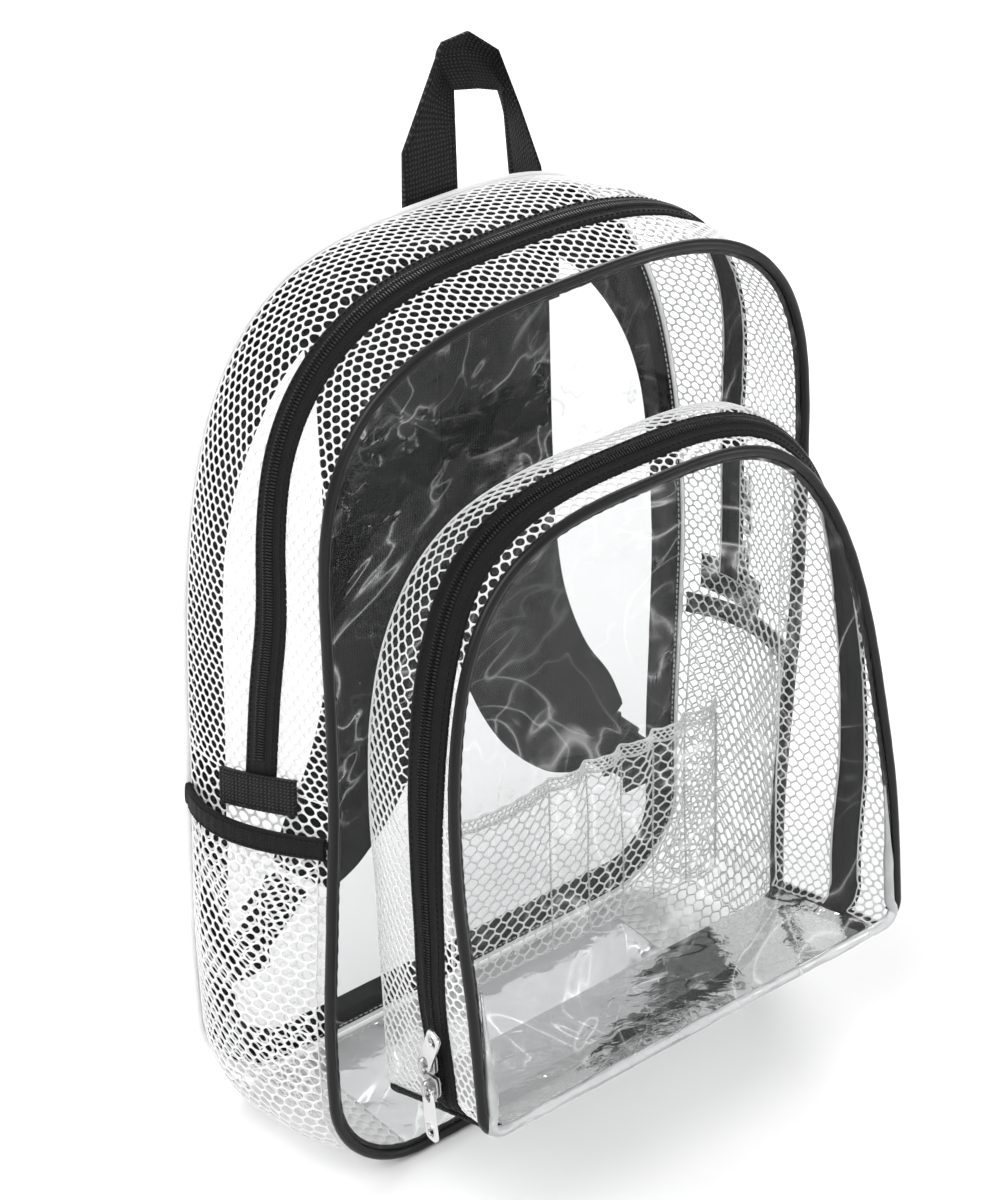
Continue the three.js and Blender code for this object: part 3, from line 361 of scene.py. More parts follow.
def stitchRow(name, path, away, look, pitch=3.2, length=2.1, radius=.32):
    # short raised stitches along a path; away is the direction out of the cloth at each point
    path, away = np.asarray(path, float), np.asarray(away, float)
    run = np.concatenate([[0], np.cumsum(np.linalg.norm(np.diff(path, axis=0), axis=1))])
    spots = np.arange(pitch / 2, run[-1] - pitch / 2, pitch)
    ends = [np.stack([np.interp(spots + d, run, path[:, k]) for k in range(3)], -1)
            for d in (-length / 2, -length / 5, length / 5, length / 2)]
    out = np.stack([np.interp(spots, run, away[:, k]) for k in range(3)], -1)
    ahead = ends[3] - ends[0]
    ahead /= np.linalg.norm(ahead, axis=1)[:, None]
    side = np.cross(ahead, out)
    side /= np.linalg.norm(side, axis=1)[:, None]
    up = np.cross(side, ahead)
    rings = []
    for k, lift, size in ((0, -.3, .5), (1, .35, 1), (2, .35, 1), (3, -.3, .5)):
        for turn in np.linspace(0, 2 * np.pi, 5, endpoint=False):
            ring = math.cos(turn) * side + math.sin(turn) * up
            rings.append(ends[k] + radius * (lift * up + size * ring))
    points = np.stack(rings, 1)
    faces = []
    for n in range(len(spots)):
        o = n * 20
        faces += [(o + k * 5 + i, o + k * 5 + (i + 1) % 5, o + k * 5 + 5 + (i + 1) % 5, o + k * 5 + 5 + i)
                  for k in range(3) for i in range(5)]
        faces += [(o + 4, o + 3, o + 2, o + 1, o), (o + 15, o + 16, o + 17, o + 18, o + 19)]
    return makePiece(name, points.reshape(-1, 3), faces, look)


def seamRows(name, at, us, places, lift=.15, **stitch):
    # a row of stitches along us at each place across; at gives a point from both and a height
    rows = []
    for v in places:
        out = at(us, v, 1.) - at(us, v, 0.)
        rows.append(stitchRow(name, at(us, v, lift), out, looks["blackThread"], **stitch))
    return rows


def facing(row, axis, way=1):
    # one direction for each point of a row
    out = np.zeros_like(row)
    out[:, axis] = way
    return out


def newLook(name):
    look = bpy.data.materials.new(name)
    look.use_nodes = True
    look.node_tree.nodes.clear()
    return look, look.node_tree


def addNode(tree, kind, links=(), **values):
    # values set inputs by name, with _ for a space, or the node's own settings
    made = tree.nodes.new("ShaderNode" + kind)
    for key, value in values.items():
        if hasattr(made, key):
            setattr(made, key, value)
        else:
            made.inputs[key.replace("_", " ")].default_value = value
    for socket, source in dict(links).items():
        tree.links.new(source, made.inputs[socket])
    return made


def ramp(tree, source, *stops):
    made = addNode(tree, "ValToRGB", {"Fac": source})
    parts = made.color_ramp.elements
    while len(parts) < len(stops):
        parts.new(.5)
    for part, (spot, shade) in zip(parts, stops):
        part.position = spot
        part.color = (shade, shade, shade, 1) if isinstance(shade, (int, float)) else (*shade, 1)
    return made.outputs["Color"]


def wave(tree, coordinate, pitch):
    # 0 to 1 and back over each pitch of a coordinate in metres
    turn = addNode(tree, "Math", {0: coordinate}, operation="MULTIPLY")
    turn.inputs[1].default_value = 2 * math.pi / (pitch / 1000)
    sine = addNode(tree, "Math", {0: turn.outputs[0]}, operation="SINE")
    half = addNode(tree, "Math", {0: sine.outputs[0]}, operation="MULTIPLY_ADD")
    half.inputs[1].default_value = .5
    half.inputs[2].default_value = .5
    return half.outputs[0]


def combine(tree, operation, a, b):
    made = addNode(tree, "Math", {0: a}, operation=operation)
    if isinstance(b, (int, float)):
        made.inputs[1].default_value = b
    else:
        tree.links.new(b, made.inputs[1])
    return made.outputs[0]


def clearVinyl(name, haze, ripple, mirrorSize=.35, tint=.95, paintedGlints=.36):
    look, tree = newLook(name)
    place = addNode(tree, "TexCoord").outputs["Object"]
    swirl = addNode(tree, "TexNoise", {"Vector": place}, Scale=13., Detail=2., Distortion=1.6)
    fine = addNode(tree, "TexNoise", {"Vector": place}, Scale=75., Detail=3., Distortion=.8)
    height = combine(tree, "MULTIPLY_ADD", swirl.outputs["Fac"], 5.)
    tree.links.new(fine.outputs["Fac"], height.node.inputs[2])
    bump = addNode(tree, "Bump", {"Height": height}, Strength=ripple, Distance=.0009)
    gloss = addNode(tree, "BsdfGlossy", {"Normal": bump.outputs["Normal"]}, Roughness=.055)
    gloss.inputs["Color"].default_value = (1, 1, 1, 1)
    clear = addNode(tree, "BsdfTransparent")
    clear.inputs["Color"].default_value = (tint, tint + .004, tint + .006, 1)
    milk = addNode(tree, "BsdfDiffuse", {"Normal": bump.outputs["Normal"]})
    milk.inputs["Color"].default_value = (.75, .76, .77, 1)
    film = addNode(tree, "TexNoise", {"Vector": place}, Scale=9., Detail=5., Roughness=.62)
    cloud = ramp(tree, film.outputs["Fac"], (.4, haze * .3), (.72, haze))
    body = addNode(tree, "MixShader", {"Fac": cloud, 1: clear.outputs[0], 2: milk.outputs[0]})
    mirror = addNode(tree, "Fresnel", {"Normal": bump.outputs["Normal"]}, IOR=1.47)
    # painted highlights: thin bright lines, as in marble, in patches, drawn by a noise mask that raises the
    # glossy share; they stand in for glints where the slack sheet bends
    lines = addNode(tree, "TexNoise", {"Vector": place}, Scale=8., Detail=2., Distortion=3.2)
    away = combine(tree, "ABSOLUTE", combine(tree, "SUBTRACT", lines.outputs["Fac"], .5), 0.)
    thin = ramp(tree, away, (0., 1.), (.006, .45), (.018, .06), (.045, 0.))
    spread = addNode(tree, "TexNoise", {"Vector": place}, Scale=10.)
    patch = ramp(tree, spread.outputs["Fac"], (.45, .12), (.62, 1.))
    lit = combine(tree, "MULTIPLY", combine(tree, "MULTIPLY", thin, patch), paintedGlints)
    both = combine(tree, "MULTIPLY_ADD", mirror.outputs[0], mirrorSize)
    tree.links.new(lit, both.node.inputs[2])
    both.node.use_clamp = True
    mixed = addNode(tree, "MixShader", {"Fac": both, 1: body.outputs[0], 2: gloss.outputs[0]})
    addNode(tree, "OutputMaterial", {"Surface": mixed.outputs[0]})
    return look


def netThread(name, shade):
    look, tree = newLook(name)
    place = addNode(tree, "TexCoord").outputs["Object"]
    twist = addNode(tree, "TexNoise", {"Vector": place}, Scale=900., Detail=2.)
    bump = addNode(tree, "Bump", {"Height": twist.outputs["Fac"]}, Strength=.5, Distance=.0003)
    cast = addNode(tree, "TexNoise", {"Vector": place}, Scale=22., Detail=2.)
    tone = ramp(tree, cast.outputs["Fac"], (.3, shade * .93), (.7, shade))
    thread = addNode(tree, "BsdfPrincipled",
                     {"Base Color": tone, "Normal": bump.outputs["Normal"]}, Roughness=.62)
    thread.inputs["Sheen Weight"].default_value = .15
    glow = addNode(tree, "BsdfTranslucent", {"Color": tone})
    mixed = addNode(tree, "MixShader", {1: thread.outputs[0], 2: glow.outputs[0]}, Fac=.22)
    addNode(tree, "OutputMaterial", {"Surface": mixed.outputs[0]})
    return look


def wovenBlack(name, along, across, shade, depth=.00025, rough=.62, crestHighlight=0.0, sheen=.01):
    # ribs along and across the lay, in mm, with a painted highlight: lighter colour on the raised crests of
    # the weave, where the yarn turns
    look, tree = newLook(name)
    coords = addNode(tree, "TexCoord")
    parts = addNode(tree, "SeparateXYZ", {"Vector": coords.outputs["UV"]}).outputs
    warp, weft = wave(tree, parts["X"], along), wave(tree, parts["Y"], across)
    slant = wave(tree, combine(tree, "ADD", parts["X"], parts["Y"]), (along + across) / 1.6)
    weave = combine(tree, "MULTIPLY", warp, weft)
    height = combine(tree, "MULTIPLY_ADD", slant, .45)
    tree.links.new(weave, height.node.inputs[2])
    bump = addNode(tree, "Bump", {"Height": height}, Strength=.9, Distance=depth)
    fuzz = addNode(tree, "TexNoise", {"Vector": coords.outputs["Object"]}, Scale=160., Detail=4.)
    dust = ramp(tree, fuzz.outputs["Fac"], (.35, shade * .75), (.75, shade * 1.5))
    # painted highlight: the colour is lighter where the weave stands highest
    light = ramp(tree, height, (.55, 0.), (1., crestHighlight))
    tone = addNode(tree, "MixRGB", {"Color1": dust, "Color2": light}, blend_type="ADD")
    tone.inputs["Fac"].default_value = 1.
    worn = ramp(tree, fuzz.outputs["Fac"], (.3, rough - .08), (.8, rough + .12))
    cloth = addNode(tree, "BsdfPrincipled", {"Base Color": tone.outputs[0], "Roughness": worn,
                                             "Normal": bump.outputs["Normal"]})
    cloth.inputs["Sheen Weight"].default_value = sheen
    cloth.inputs["Specular IOR Level"].default_value = .16
    addNode(tree, "OutputMaterial", {"Surface": cloth.outputs[0]})
    return look


def plainLook(name, shade, rough, grain, depth, metal=0.0, spread=.25, mirror=.5):
    # moulded, vinyl or metal surfaces: grain scale and depth, uneven roughness, faint wear
    look, tree = newLook(name)
    place = addNode(tree, "TexCoord").outputs["Object"]
    bits = addNode(tree, "TexNoise", {"Vector": place}, Scale=grain, Detail=4.)
    bump = addNode(tree, "Bump", {"Height": bits.outputs["Fac"]}, Strength=.6, Distance=depth)
    cloud = addNode(tree, "TexNoise", {"Vector": place}, Scale=45., Detail=5., Roughness=.6)
    tone = ramp(tree, cloud.outputs["Fac"], (.3, shade * (1 - spread)), (.75, shade * (1 + spread)))
    worn = ramp(tree, cloud.outputs["Fac"], (.3, rough * .8), (.75, rough * 1.35))
    skin = addNode(tree, "BsdfPrincipled", {"Base Color": tone, "Roughness": worn,
                                            "Normal": bump.outputs["Normal"]}, Metallic=metal)
    skin.inputs["Specular IOR Level"].default_value = mirror
    addNode(tree, "OutputMaterial", {"Surface": skin.outputs[0]})
    return look


looks = dict(
    panel=clearVinyl("clearPanel", haze=.012, ripple=.5),
    window=clearVinyl("clearWindow", haze=.02, ripple=.35, tint=.75, paintedGlints=.12),
    foot=clearVinyl("clearFoot", haze=.12, ripple=.5, mirrorSize=.8, tint=.92, paintedGlints=.5),
    rolled=clearVinyl("rolledEdge", haze=.7, ripple=.3, mirrorSize=2.2, paintedGlints=.3),
    net=netThread("whiteNet", .93),
    innerNet=netThread("innerNet", .9),
    tape=wovenBlack("zipperTape", 1.1, .9, .005, crestHighlight=.006),
    webbing=wovenBlack("blackWebbing", 2.4, 1.7, .007, depth=.0005, crestHighlight=.035),
    cloth=wovenBlack("blackCloth", .8, .8, .006, crestHighlight=.008),
    elastic=wovenBlack("blackElastic", 1.4, 1.2, .005, depth=.0003, crestHighlight=.008),
    pad=wovenBlack("strapCloth", 1.0, 1.0, .004, depth=.00014, crestHighlight=.005, sheen=.01),
    piping=plainLook("blackPiping", .004, .34, 260., .00012, mirror=.3),
    coil=plainLook("zipperCoil", .005, .36, 500., .0001, mirror=.35),
    plastic=plainLook("buckleBlack", .008, .42, 700., .0001, mirror=.35),
    metal=plainLook("nickelPull", .74, .2, 350., .00005, metal=1., spread=.08),
    slider=plainLook("sliderMetal", .52, .3, 350., .00008, metal=1., spread=.12),
    blackThread=plainLook("blackThread", .01, .6, 900., .0001, mirror=.2),
    paleThread=plainLook("paleThread", .6, .6, 900., .0001),
)
print("finishes made:", len(looks))


def sheetCreases(x, z, seed, size):
    # slack vinyl: broad buckles, swirled folds and a few sharp creases, all inwards
    wx = x + 16 * softNoise(x / 46, z / 46, seed + 5)
    wz = z + 22 * softNoise(x / 52, z / 40, seed + 8)
    broad = .5 + .5 * softNoise(wx / 62, wz / 70, seed)
    fold = 1 - np.abs(softNoise(wx / 34, wz / 58, seed + 1))
    sharp = np.clip(1 - 7 * np.abs(softNoise(wx / 75, wz / 60, seed + 2)), 0, 1)
    return size * (1.1 * broad + .75 * fold ** 3 + .35 * sharp)


def archSheet(name, outline, inset, depthAt, look, columns, rows):
    footEnd = outline.shareAt(outline.foot + .2)
    shares = footEnd + (.4995 - footEnd) * np.linspace(0, 1, rows) ** .92

    def at(u, share, proud):
        ax, az, aox, aoz = outline.walk(1 - share)
        bx, bz, box, boz = outline.walk(share)
        ax, az, bx, bz = ax - aox * inset, az - aoz * inset, bx - box * inset, bz - boz * inset
        x, z = ax + (bx - ax) * u, az + (bz - az) * u
        return np.stack([x, depthAt(x, z) - proud, z], -1)

    return sheetPiece(name, np.linspace(0, 1, columns), shares, at, look)


def edgeFade(outline, x, z, reach):
    # 0 at the seam, 1 a reach inside it
    spots = np.linspace(0, 1, 500)
    ox, oz = outline.place(spots)
    gap = np.sqrt(((x[..., None] - ox) ** 2 + (z[..., None] - oz) ** 2).min(-1))
    return smooth(gap, 1.5, reach)


def buildMainPanels():
    size = dict(front=1.15, back=.7)

    def frontDepth(x, z):
        fade = edgeFade(mainSeam, x, z, 26)
        pucker = .35 * np.sin(np.hypot(x, z - 200) / 4.2) * (1 - fade) * smooth(z, 60, 120)
        organizer = 1 - .75 * smooth(95 - np.abs(x), 0, 20) * smooth(190 - z, 0, 30)
        return frontFace(x, z) + fade * organizer * sheetCreases(x, z, 3, size["front"]) + pucker

    front = archSheet("frontSheet", mainSeam, bag["inset"], frontDepth, looks["panel"], 90, 110)
    wear(front, "clear_sheet", "front_panel")

    def backDepth(x, z):
        return 48.2 - edgeFade(backArch, x, z, 30) * .6 * sheetCreases(x, z, 11, size["back"])

    back = archSheet("backSheet", backArch, 12, backDepth, looks["window"], 60, 80)
    wear(back, "clear_sheet", "back_window")
    foot = sheetPiece("footSheet", np.linspace(-cornerStart, cornerStart, 60),
                      np.linspace(bag["inset"], 97.05, 30),
                      lambda share, across, proud: gussetPoint(
                          share, across, proud - .4 + .35 * softNoise(share * 60, across / 18, 4)),
                      looks["foot"])
    wear(foot, "clear_sheet", "bottom_panel")
    print("main panels done")


def buildPocketFront():
    def depthAt(x, z):
        up = np.clip((z - pocket["foot"]) / (pocket["top"] - pocket["foot"]), 0, 1)
        aside = np.clip(2 * np.abs(x) / pocket["width"], 0, 1)
        dome = 5 * np.sin(np.pi * up) * (1 - aside ** 2)
        fade = edgeFade(pocketRim, x, z, 22)
        pucker = .3 * np.sin(np.hypot(x, z - 190) / 3.9) * (1 - fade)
        return rimDepth(z) - dome - .5 + fade * sheetCreases(x, z, 21, .95) + pucker

    front = archSheet("pocketSheet", pocketRim, bag["inset"], depthAt, looks["panel"], 80, 90)
    wear(front, "clear_sheet", "pocket_front_panel")
    foot = sheetPiece("pocketFoot", np.linspace(.0006 - pocketEnd, pocketEnd - .0006, 60),
                      np.linspace(0, 1, 30),
                      lambda share, v, proud: beltPoint(
                          share, v * (1 - beltShare(share, bag["inset"])),
                          proud - .3 * softNoise(share * 55, v * 5, 14)),
                      looks["foot"])
    wear(foot, "clear_sheet", "pocket_bottom_panel")
    print("pocket sheets done")


def buildPiping():
    piping = dict(radius=2.6, seamTape=3., tapeWall=.7, rolled=76)

    def build(name, node, outline, depthAt, inward, slot="black_piping", foot=0.):
        # the cord runs where the seam is above foot
        start = outline.shareAt(foot) if foot else .0004
        shares = np.linspace(start, 1 - start, 440)
        x, z = outline.place(shares)
        path = np.stack([x, depthAt(z), z], -1)
        ripple = piping["radius"] * (1 + .025 * softNoise(shares * 190, 0 * shares, 6))
        pale = slot == "white_net"
        thickness, cover = (.6, looks["net"]) if pale else (1, looks["piping"])
        cord = tubePiece(name + "Cord", path, ripple * thickness, cover, sides=12)

        def tape(share, v, proud):
            px, pz, ox, oz = outline.walk(share)
            inner = 1.8 + v * piping["seamTape"]
            y = depthAt(pz) + inward * (1.3 + .25 * np.sin(share * 900) * v) + inward * proud
            return np.stack(np.broadcast_arrays(px - ox * inner, y, pz - oz * inner), -1)

        cover = looks["cloth" if pale else "piping"]
        band = sheetPiece(name + "Band", shares, np.linspace(0, 1, 4), tape, cover, piping["tapeWall"])
        row = tape(shares, .62, .35)
        thread = looks["paleThread" if pale else "blackThread"]
        seam = stitchRow(name + "Seam", row, facing(row, 1, inward), thread)
        wear(joinPieces(name, [cord, band, seam]), slot, node)

    build("frontPiping", "front_piping", mainSeam, lambda z: -50 + 0 * z, 1)
    build("backPiping", "back_piping", backArch, lambda z: 50 + 0 * z, -1, "white_net")
    build("pocketPiping", "pocket_piping", pocketRim, rimDepth, 1, foot=piping["rolled"])
    # along the pocket's foot the seam is a clear rolled edge
    end = pocketRim.shareAt(150)
    shares = np.linspace(-end, end, 320)
    x, z, outX, outZ = pocketRim.walk(shares)
    beside = 5.5 * smooth(z, 73, 84)
    path = np.stack([x - outX * beside, rimDepth(z) - .8, z - outZ * beside], -1)
    size = (2.9 + .3 * softNoise(shares * 90, 0 * shares, 16)) * (1 - .75 * smooth(z, 90, 150))
    wear(tubePiece("pocketRoll", path, size, looks["rolled"], sides=14), "clear_sheet")
    print("piping done")


def coilPiece(name, start, end, at, width, pitch=1.5):
    # two rows of interleaved loops; at(s, offset, proud) gives a point, in mm
    spots = np.arange(start, end, pitch)
    points, faces = [], []
    sides = 6
    turn = np.linspace(0, 2 * np.pi, sides, endpoint=False)
    for half in (-1, 1):
        s = spots + (pitch / 2 if half > 0 else 0)
        for reach, lift, size in ((.12, .62, .5), (-.02, .66, .56), (.85, .5, .56), (1, .1, .5)):
            for angle in turn:
                along = s + .52 * size * pitch * math.cos(angle) * 1.1
                offset = half * width / 2 * reach
                proud = 1.35 * lift + .55 * size * math.sin(angle)
                points.append(at(along, offset + 0 * along, proud))
    points = np.stack(points, 1)
    count, ring = len(spots), 4 * sides
    total = 2 * ring
    for n in range(count):
        for half in range(2):
            o = n * total + half * ring
            for k in range(3):
                faces += [(o + k * sides + i, o + k * sides + (i + 1) % sides,
                           o + (k + 1) * sides + (i + 1) % sides, o + (k + 1) * sides + i)
                          for i in range(sides)]
            faces += [tuple(o + i for i in range(sides))[::-1],
                      tuple(o + 3 * sides + i for i in range(sides))]
    return makePiece(name, points.reshape(-1, 3), faces, looks["coil"])


def buildMainZipper():
    tapeHalf = 9 - fit
    shares = np.linspace(zipperStart, zipperLast, 420)
    ribs = np.array([-1, -.95, -.86, -.6, -.47, -.41, -.34, .34, .41, .47, .6, .86, .95, 1])
    swell = [(-1, -.5), (-.86, 0), (-.47, 0), (-.41, .35), (0, .1), (.41, .35), (.47, 0), (.86, 0), (1, -.5)]

    def tape(share, v, proud):
        return gussetPoint(share, zipperMiddle(share) + v * tapeHalf, proud + readTable(swell, v))

    strip = sheetPiece("mainTape", shares, ribs, tape, looks["tape"], 1.2)
    rows = seamRows("mainTapeSeam", tape, shares, (-.8, .8), radius=.3)
    wear(joinPieces("mainZipperTape", [strip, *rows]), "zipper_tape", "main_zipper_tape")
    length = mainSeam.length
    margin = .01 * length
    coil = coilPiece("mainZipperCoil", zipperStart * length + margin, zipperLast * length - margin,
                     lambda s, offset, proud: gussetPoint(
                         s / length, zipperMiddle(s / length) + offset, proud + fit), 6)
    wear(coil, "zipper_coil", "main_zipper_coil")
    print("main zipper done")


def buildPocketZipper():
    tapeHalf = 10.5 - fit
    shares = np.linspace(pocketEnd, 1 - pocketEnd, 420)
    ribs = np.array([-1, -.96, -.88, -.6, -.43, -.37, -.3, .3, .37, .43, .6, .88, .96, 1])
    swell = [(-1, -.5), (-.88, 0), (-.43, 0), (-.37, .35), (0, .1), (.37, .35), (.43, 0), (.88, 0), (1, -.5)]

    def tape(share, v, proud):
        across = pocketMiddle(share) + v * beltShare(share, tapeHalf)
        return beltPoint(share, across, proud + readTable(swell, v))

    strip = sheetPiece("pocketTape", shares, ribs, tape, looks["tape"], 1.2)
    rows = seamRows("pocketTapeSeam", tape, shares, (-.76, .76), radius=.3)
    wear(joinPieces("pocketZipperTape", [strip, *rows]), "zipper_tape", "pocket_zipper_tape")
    length = pocketRim.length

    def at(s, offset, proud):
        share = s / length
        return beltPoint(share, pocketMiddle(share) + beltShare(share, offset), proud + fit)

    start = (pocketEnd + .012) * length
    wear(coilPiece("pocketZipperCoil", start, length - start, at, 6), "zipper_coil", "pocket_zipper_coil")
    print("pocket zipper done")


def buildGussetNets():
    length = mainSeam.length
    start, end = zipperStart * length, zipperLast * length

    def side(s, w):
        share = s / length
        loose = .9 * softNoise(s / 34, w / 22, 31) * np.sin(np.pi * np.clip(w / 100, 0, 1))
        return gussetPoint(share, w, loose * smooth(mainSeam.place(share)[1], 4, 24) - .75)

    def crown(s, w):
        # the net dips under the tape and is gathered beside it
        gap = np.abs(w - zipperMiddle(s / length))
        free = smooth(gap, 9, 13)
        loose = 1.1 * softNoise(s / 30, w / 18, 31) * np.sin(np.pi * np.clip(w / 100, 0, 1))
        gather = np.sin(s / 4.3 + 2.4 * softNoise(s / 28, 0 * s, 33)) * (1 - smooth(gap, 12, 30))
        return gussetPoint(s / length, w, free * (1.3 + loose + .75 * gather) - 1.95)

    low = lambda s: 2.4 + 0 * s
    high = lambda s: 97.6 + 0 * s
    front = netPiece("crownNetFront", start, end, crown, low,
                     lambda s: zipperMiddle(s / length) - 7.4, looks["net"], size=.78)
    wear(front, "white_net", "crown_net_front")
    back = netPiece("crownNetBack", start, end, crown, lambda s: zipperMiddle(s / length) + 7.4,
                    high, looks["net"], seed=2, size=.82)
    wear(back, "white_net", "crown_net_back")
    for name, sign, lift in sides:
        first, last = cornerStart * length, mainSeam.shareAt(zipperEnd + lift) * length
        if sign < 0:
            first, last = length - last, length - first
        weave = netPiece("sideNet_" + name, first, last, side, low, high, looks["net"], 4, int(sign < 0))
        wear(weave, "white_net", "side_net_" + name)
    print("gusset nets done")


def buildSidePockets():
    length = mainSeam.length
    edge, sideTop, bindingWidth = 7, 180, 11
    swellRows = [(0, .15), (.2, .8), (.4, 1), (.75, .75), (1, .5)]
    riseRows = [(0, 1), (.3, .42), (.6, .15), (1, 0)]

    def place(sign, lift, across, height, proud):
        share = mainSeam.shareAt(height)
        on = share if sign > 0 else 1 - share
        middle = np.maximum(np.sin(np.pi * (across - edge) / (100 - 2 * edge)), 0)
        stand = .7 + 13 * readTable(swellRows, height / (sideTop + lift)) * middle ** .7
        return gussetPoint(on, across, stand + proud)

    lowest = mainSeam.place(cornerStart + .03)[1]
    for name, sign, lift in sides:
        bindingTop = lambda across: sideTop + lift + 3 * readTable(riseRows, across / 100)

        def at(s, w):
            height = np.interp(s, mainSeam.share * length, mainSeam.z)
            gather = .8 * softNoise(s / 40, w / 14, 41) + .5 * np.sin(w / 2.6) * smooth(height, 120, 180)
            return place(sign, lift, w, height, .6 + gather * smooth(w, 7, 20) * smooth(93 - w, 0, 13))

        first = mainSeam.shareAt(lowest) * length
        pocket = pocketNet("sidePocket_" + name, first, at, bindingTop, edge, length)
        wear(pocket, "white_net", "side_pocket_" + name)
        across = np.linspace(3.2, 96.8, 48)
        section = np.array([-.05, 0, .06, .3, .55, .8, .94, 1, 1.05])
        bulge = [(-.05, -1.2), (0, -.4), (.06, .1), (.3, .35), (.55, .3), (.8, .35), (.94, .1),
                 (1, -.4), (1.05, -1.2)]

        def band(u, v, proud):
            height = bindingTop(u) - (1 - np.clip(v, 0, 1)) * bindingWidth
            pucker = .3 * np.sin(u / .95) * np.sin(np.pi * np.clip(v, 0, 1))
            return place(sign, lift, u, height, 2.4 + readTable(bulge, v) + pucker + proud)

        strip = sheetPiece("bindingBand", across, section[1:-1], band, looks["elastic"], 2.2)
        rows = seamRows("bindingSeam", band, across, (.12, .86), .12, pitch=2.6, length=1.8)
        binding = joinPieces("sidePocketBinding_" + name, [strip, *rows])
        wear(binding, "black_cloth", "side_pocket_binding_" + name)
    print("side pockets done")


def pocketNet(name, first, at, bindingTop, edge, length):
    # the net runs up to the binding, which is not level, so each column is scaled to reach it
    across = np.linspace(edge, 100 - edge, 60)
    tops = mainSeam.shareAt(bindingTop(across) - 10.2) * length
    level = tops.min()

    def up(s, w):
        reach = np.interp(w, across, tops)
        t = np.clip((s - first) / (level - first), 0, 1)
        return at(first + t * (reach - first), w)

    return netPiece(name, first, level, up, lambda s: edge + 0 * s, lambda s: 100 - edge + 0 * s,
                    looks["net"], 6, int(name.endswith("left")))


def buildPocketNets():
    length = pocketRim.length
    start, end = pocketEnd * length, (1 - pocketEnd) * length
    breadth = lambda s: 1 / beltShare(s / length, 1.)

    def at(s, w):
        share = s / length
        gap = np.abs(w - pocketMiddle(share) * breadth(s))
        free = smooth(gap, 10.5, 14)
        gather = .5 * np.sin(s / 4.6 + 2.2 * softNoise(s / 25, 0 * s, 53)) * (1 - smooth(gap, 13, 30))
        loose = 1.3 + .7 * softNoise(s / 30, w / 16, 51) + gather
        return beltPoint(share, w / breadth(s), free * loose - 1.95)

    half = 9.1
    back = netPiece("pocketNetBack", start, end, at, lambda s: .3 + 0 * s,
                    lambda s: pocketMiddle(s / length) * breadth(s) - half, looks["net"], 8, 0, .86)
    wear(back, "white_net", "pocket_net_back")
    front = netPiece("pocketNetFront", start, end, at,
                     lambda s: pocketMiddle(s / length) * breadth(s) + half,
                     lambda s: breadth(s) - 2.2, looks["net"], seed=9, size=.86)
    wear(front, "white_net", "pocket_net_front")
    print("pocket nets done")


def buildOrganizer():
    half, foot, top, hem = 84, 82, 183, 175
    seams = np.array([-1, -.28, 0, .26, .5, .75, 1])

    def at(x, z, proud):
        u = np.clip(x / half, -1, 1)
        k = np.clip(np.searchsorted(seams, u), 1, len(seams) - 1)
        t = (u - seams[k - 1]) / (seams[k] - seams[k - 1])
        puff = 4 * np.sin(np.pi * t) * smooth(z, foot, top)
        sag = .8 * softNoise(x / 17, z / 30, 61)
        return np.stack(np.broadcast_arrays(x, frontFace(x, z) - 1.9 - puff - sag - proud, z), -1)

    # cells run up the pocket: along is the height and across the width
    piece = netPiece("organizerNet", foot, hem, lambda s, w: at(w - half, s, 0.),
                     lambda s: 0 * s, lambda s: 2 * half + 0 * s, looks["innerNet"], 12, 0)
    wear(piece, "white_net", "organizer_net")
    xs = np.linspace(-half, half, 130)
    # the hem is the same net folded over and gathered, so its cells are small
    strip = netPiece("organizerHem", hem + .4, top - .4,
                     lambda s, w: at(w - half, s, .5 + .5 * np.sin(w / 1.7 + s)), lambda s: 0 * s,
                     lambda s: 2 * half + 0 * s, looks["innerNet"], 13, 0, .42)
    rows = []
    for v in (.15, .85):
        row = at(xs, hem + v * (top - hem), .3)
        rows.append(stitchRow("hemSeam", row, facing(row, 1, -1), looks["paleThread"], 2.4, 1.7))
    zs = np.linspace(foot, hem, 40)
    for seam in seams:
        row = at(seam * half + 0 * zs, zs, .7)
        rows.append(stitchRow("slotSeam", row, facing(row, 1, -1), looks["paleThread"], 2.2, 2., .55))
    hemPiece = joinPieces("organizerBinding", [strip, *rows])
    wear(hemPiece, "white_net", "organizer_binding")
    print("organizer done")


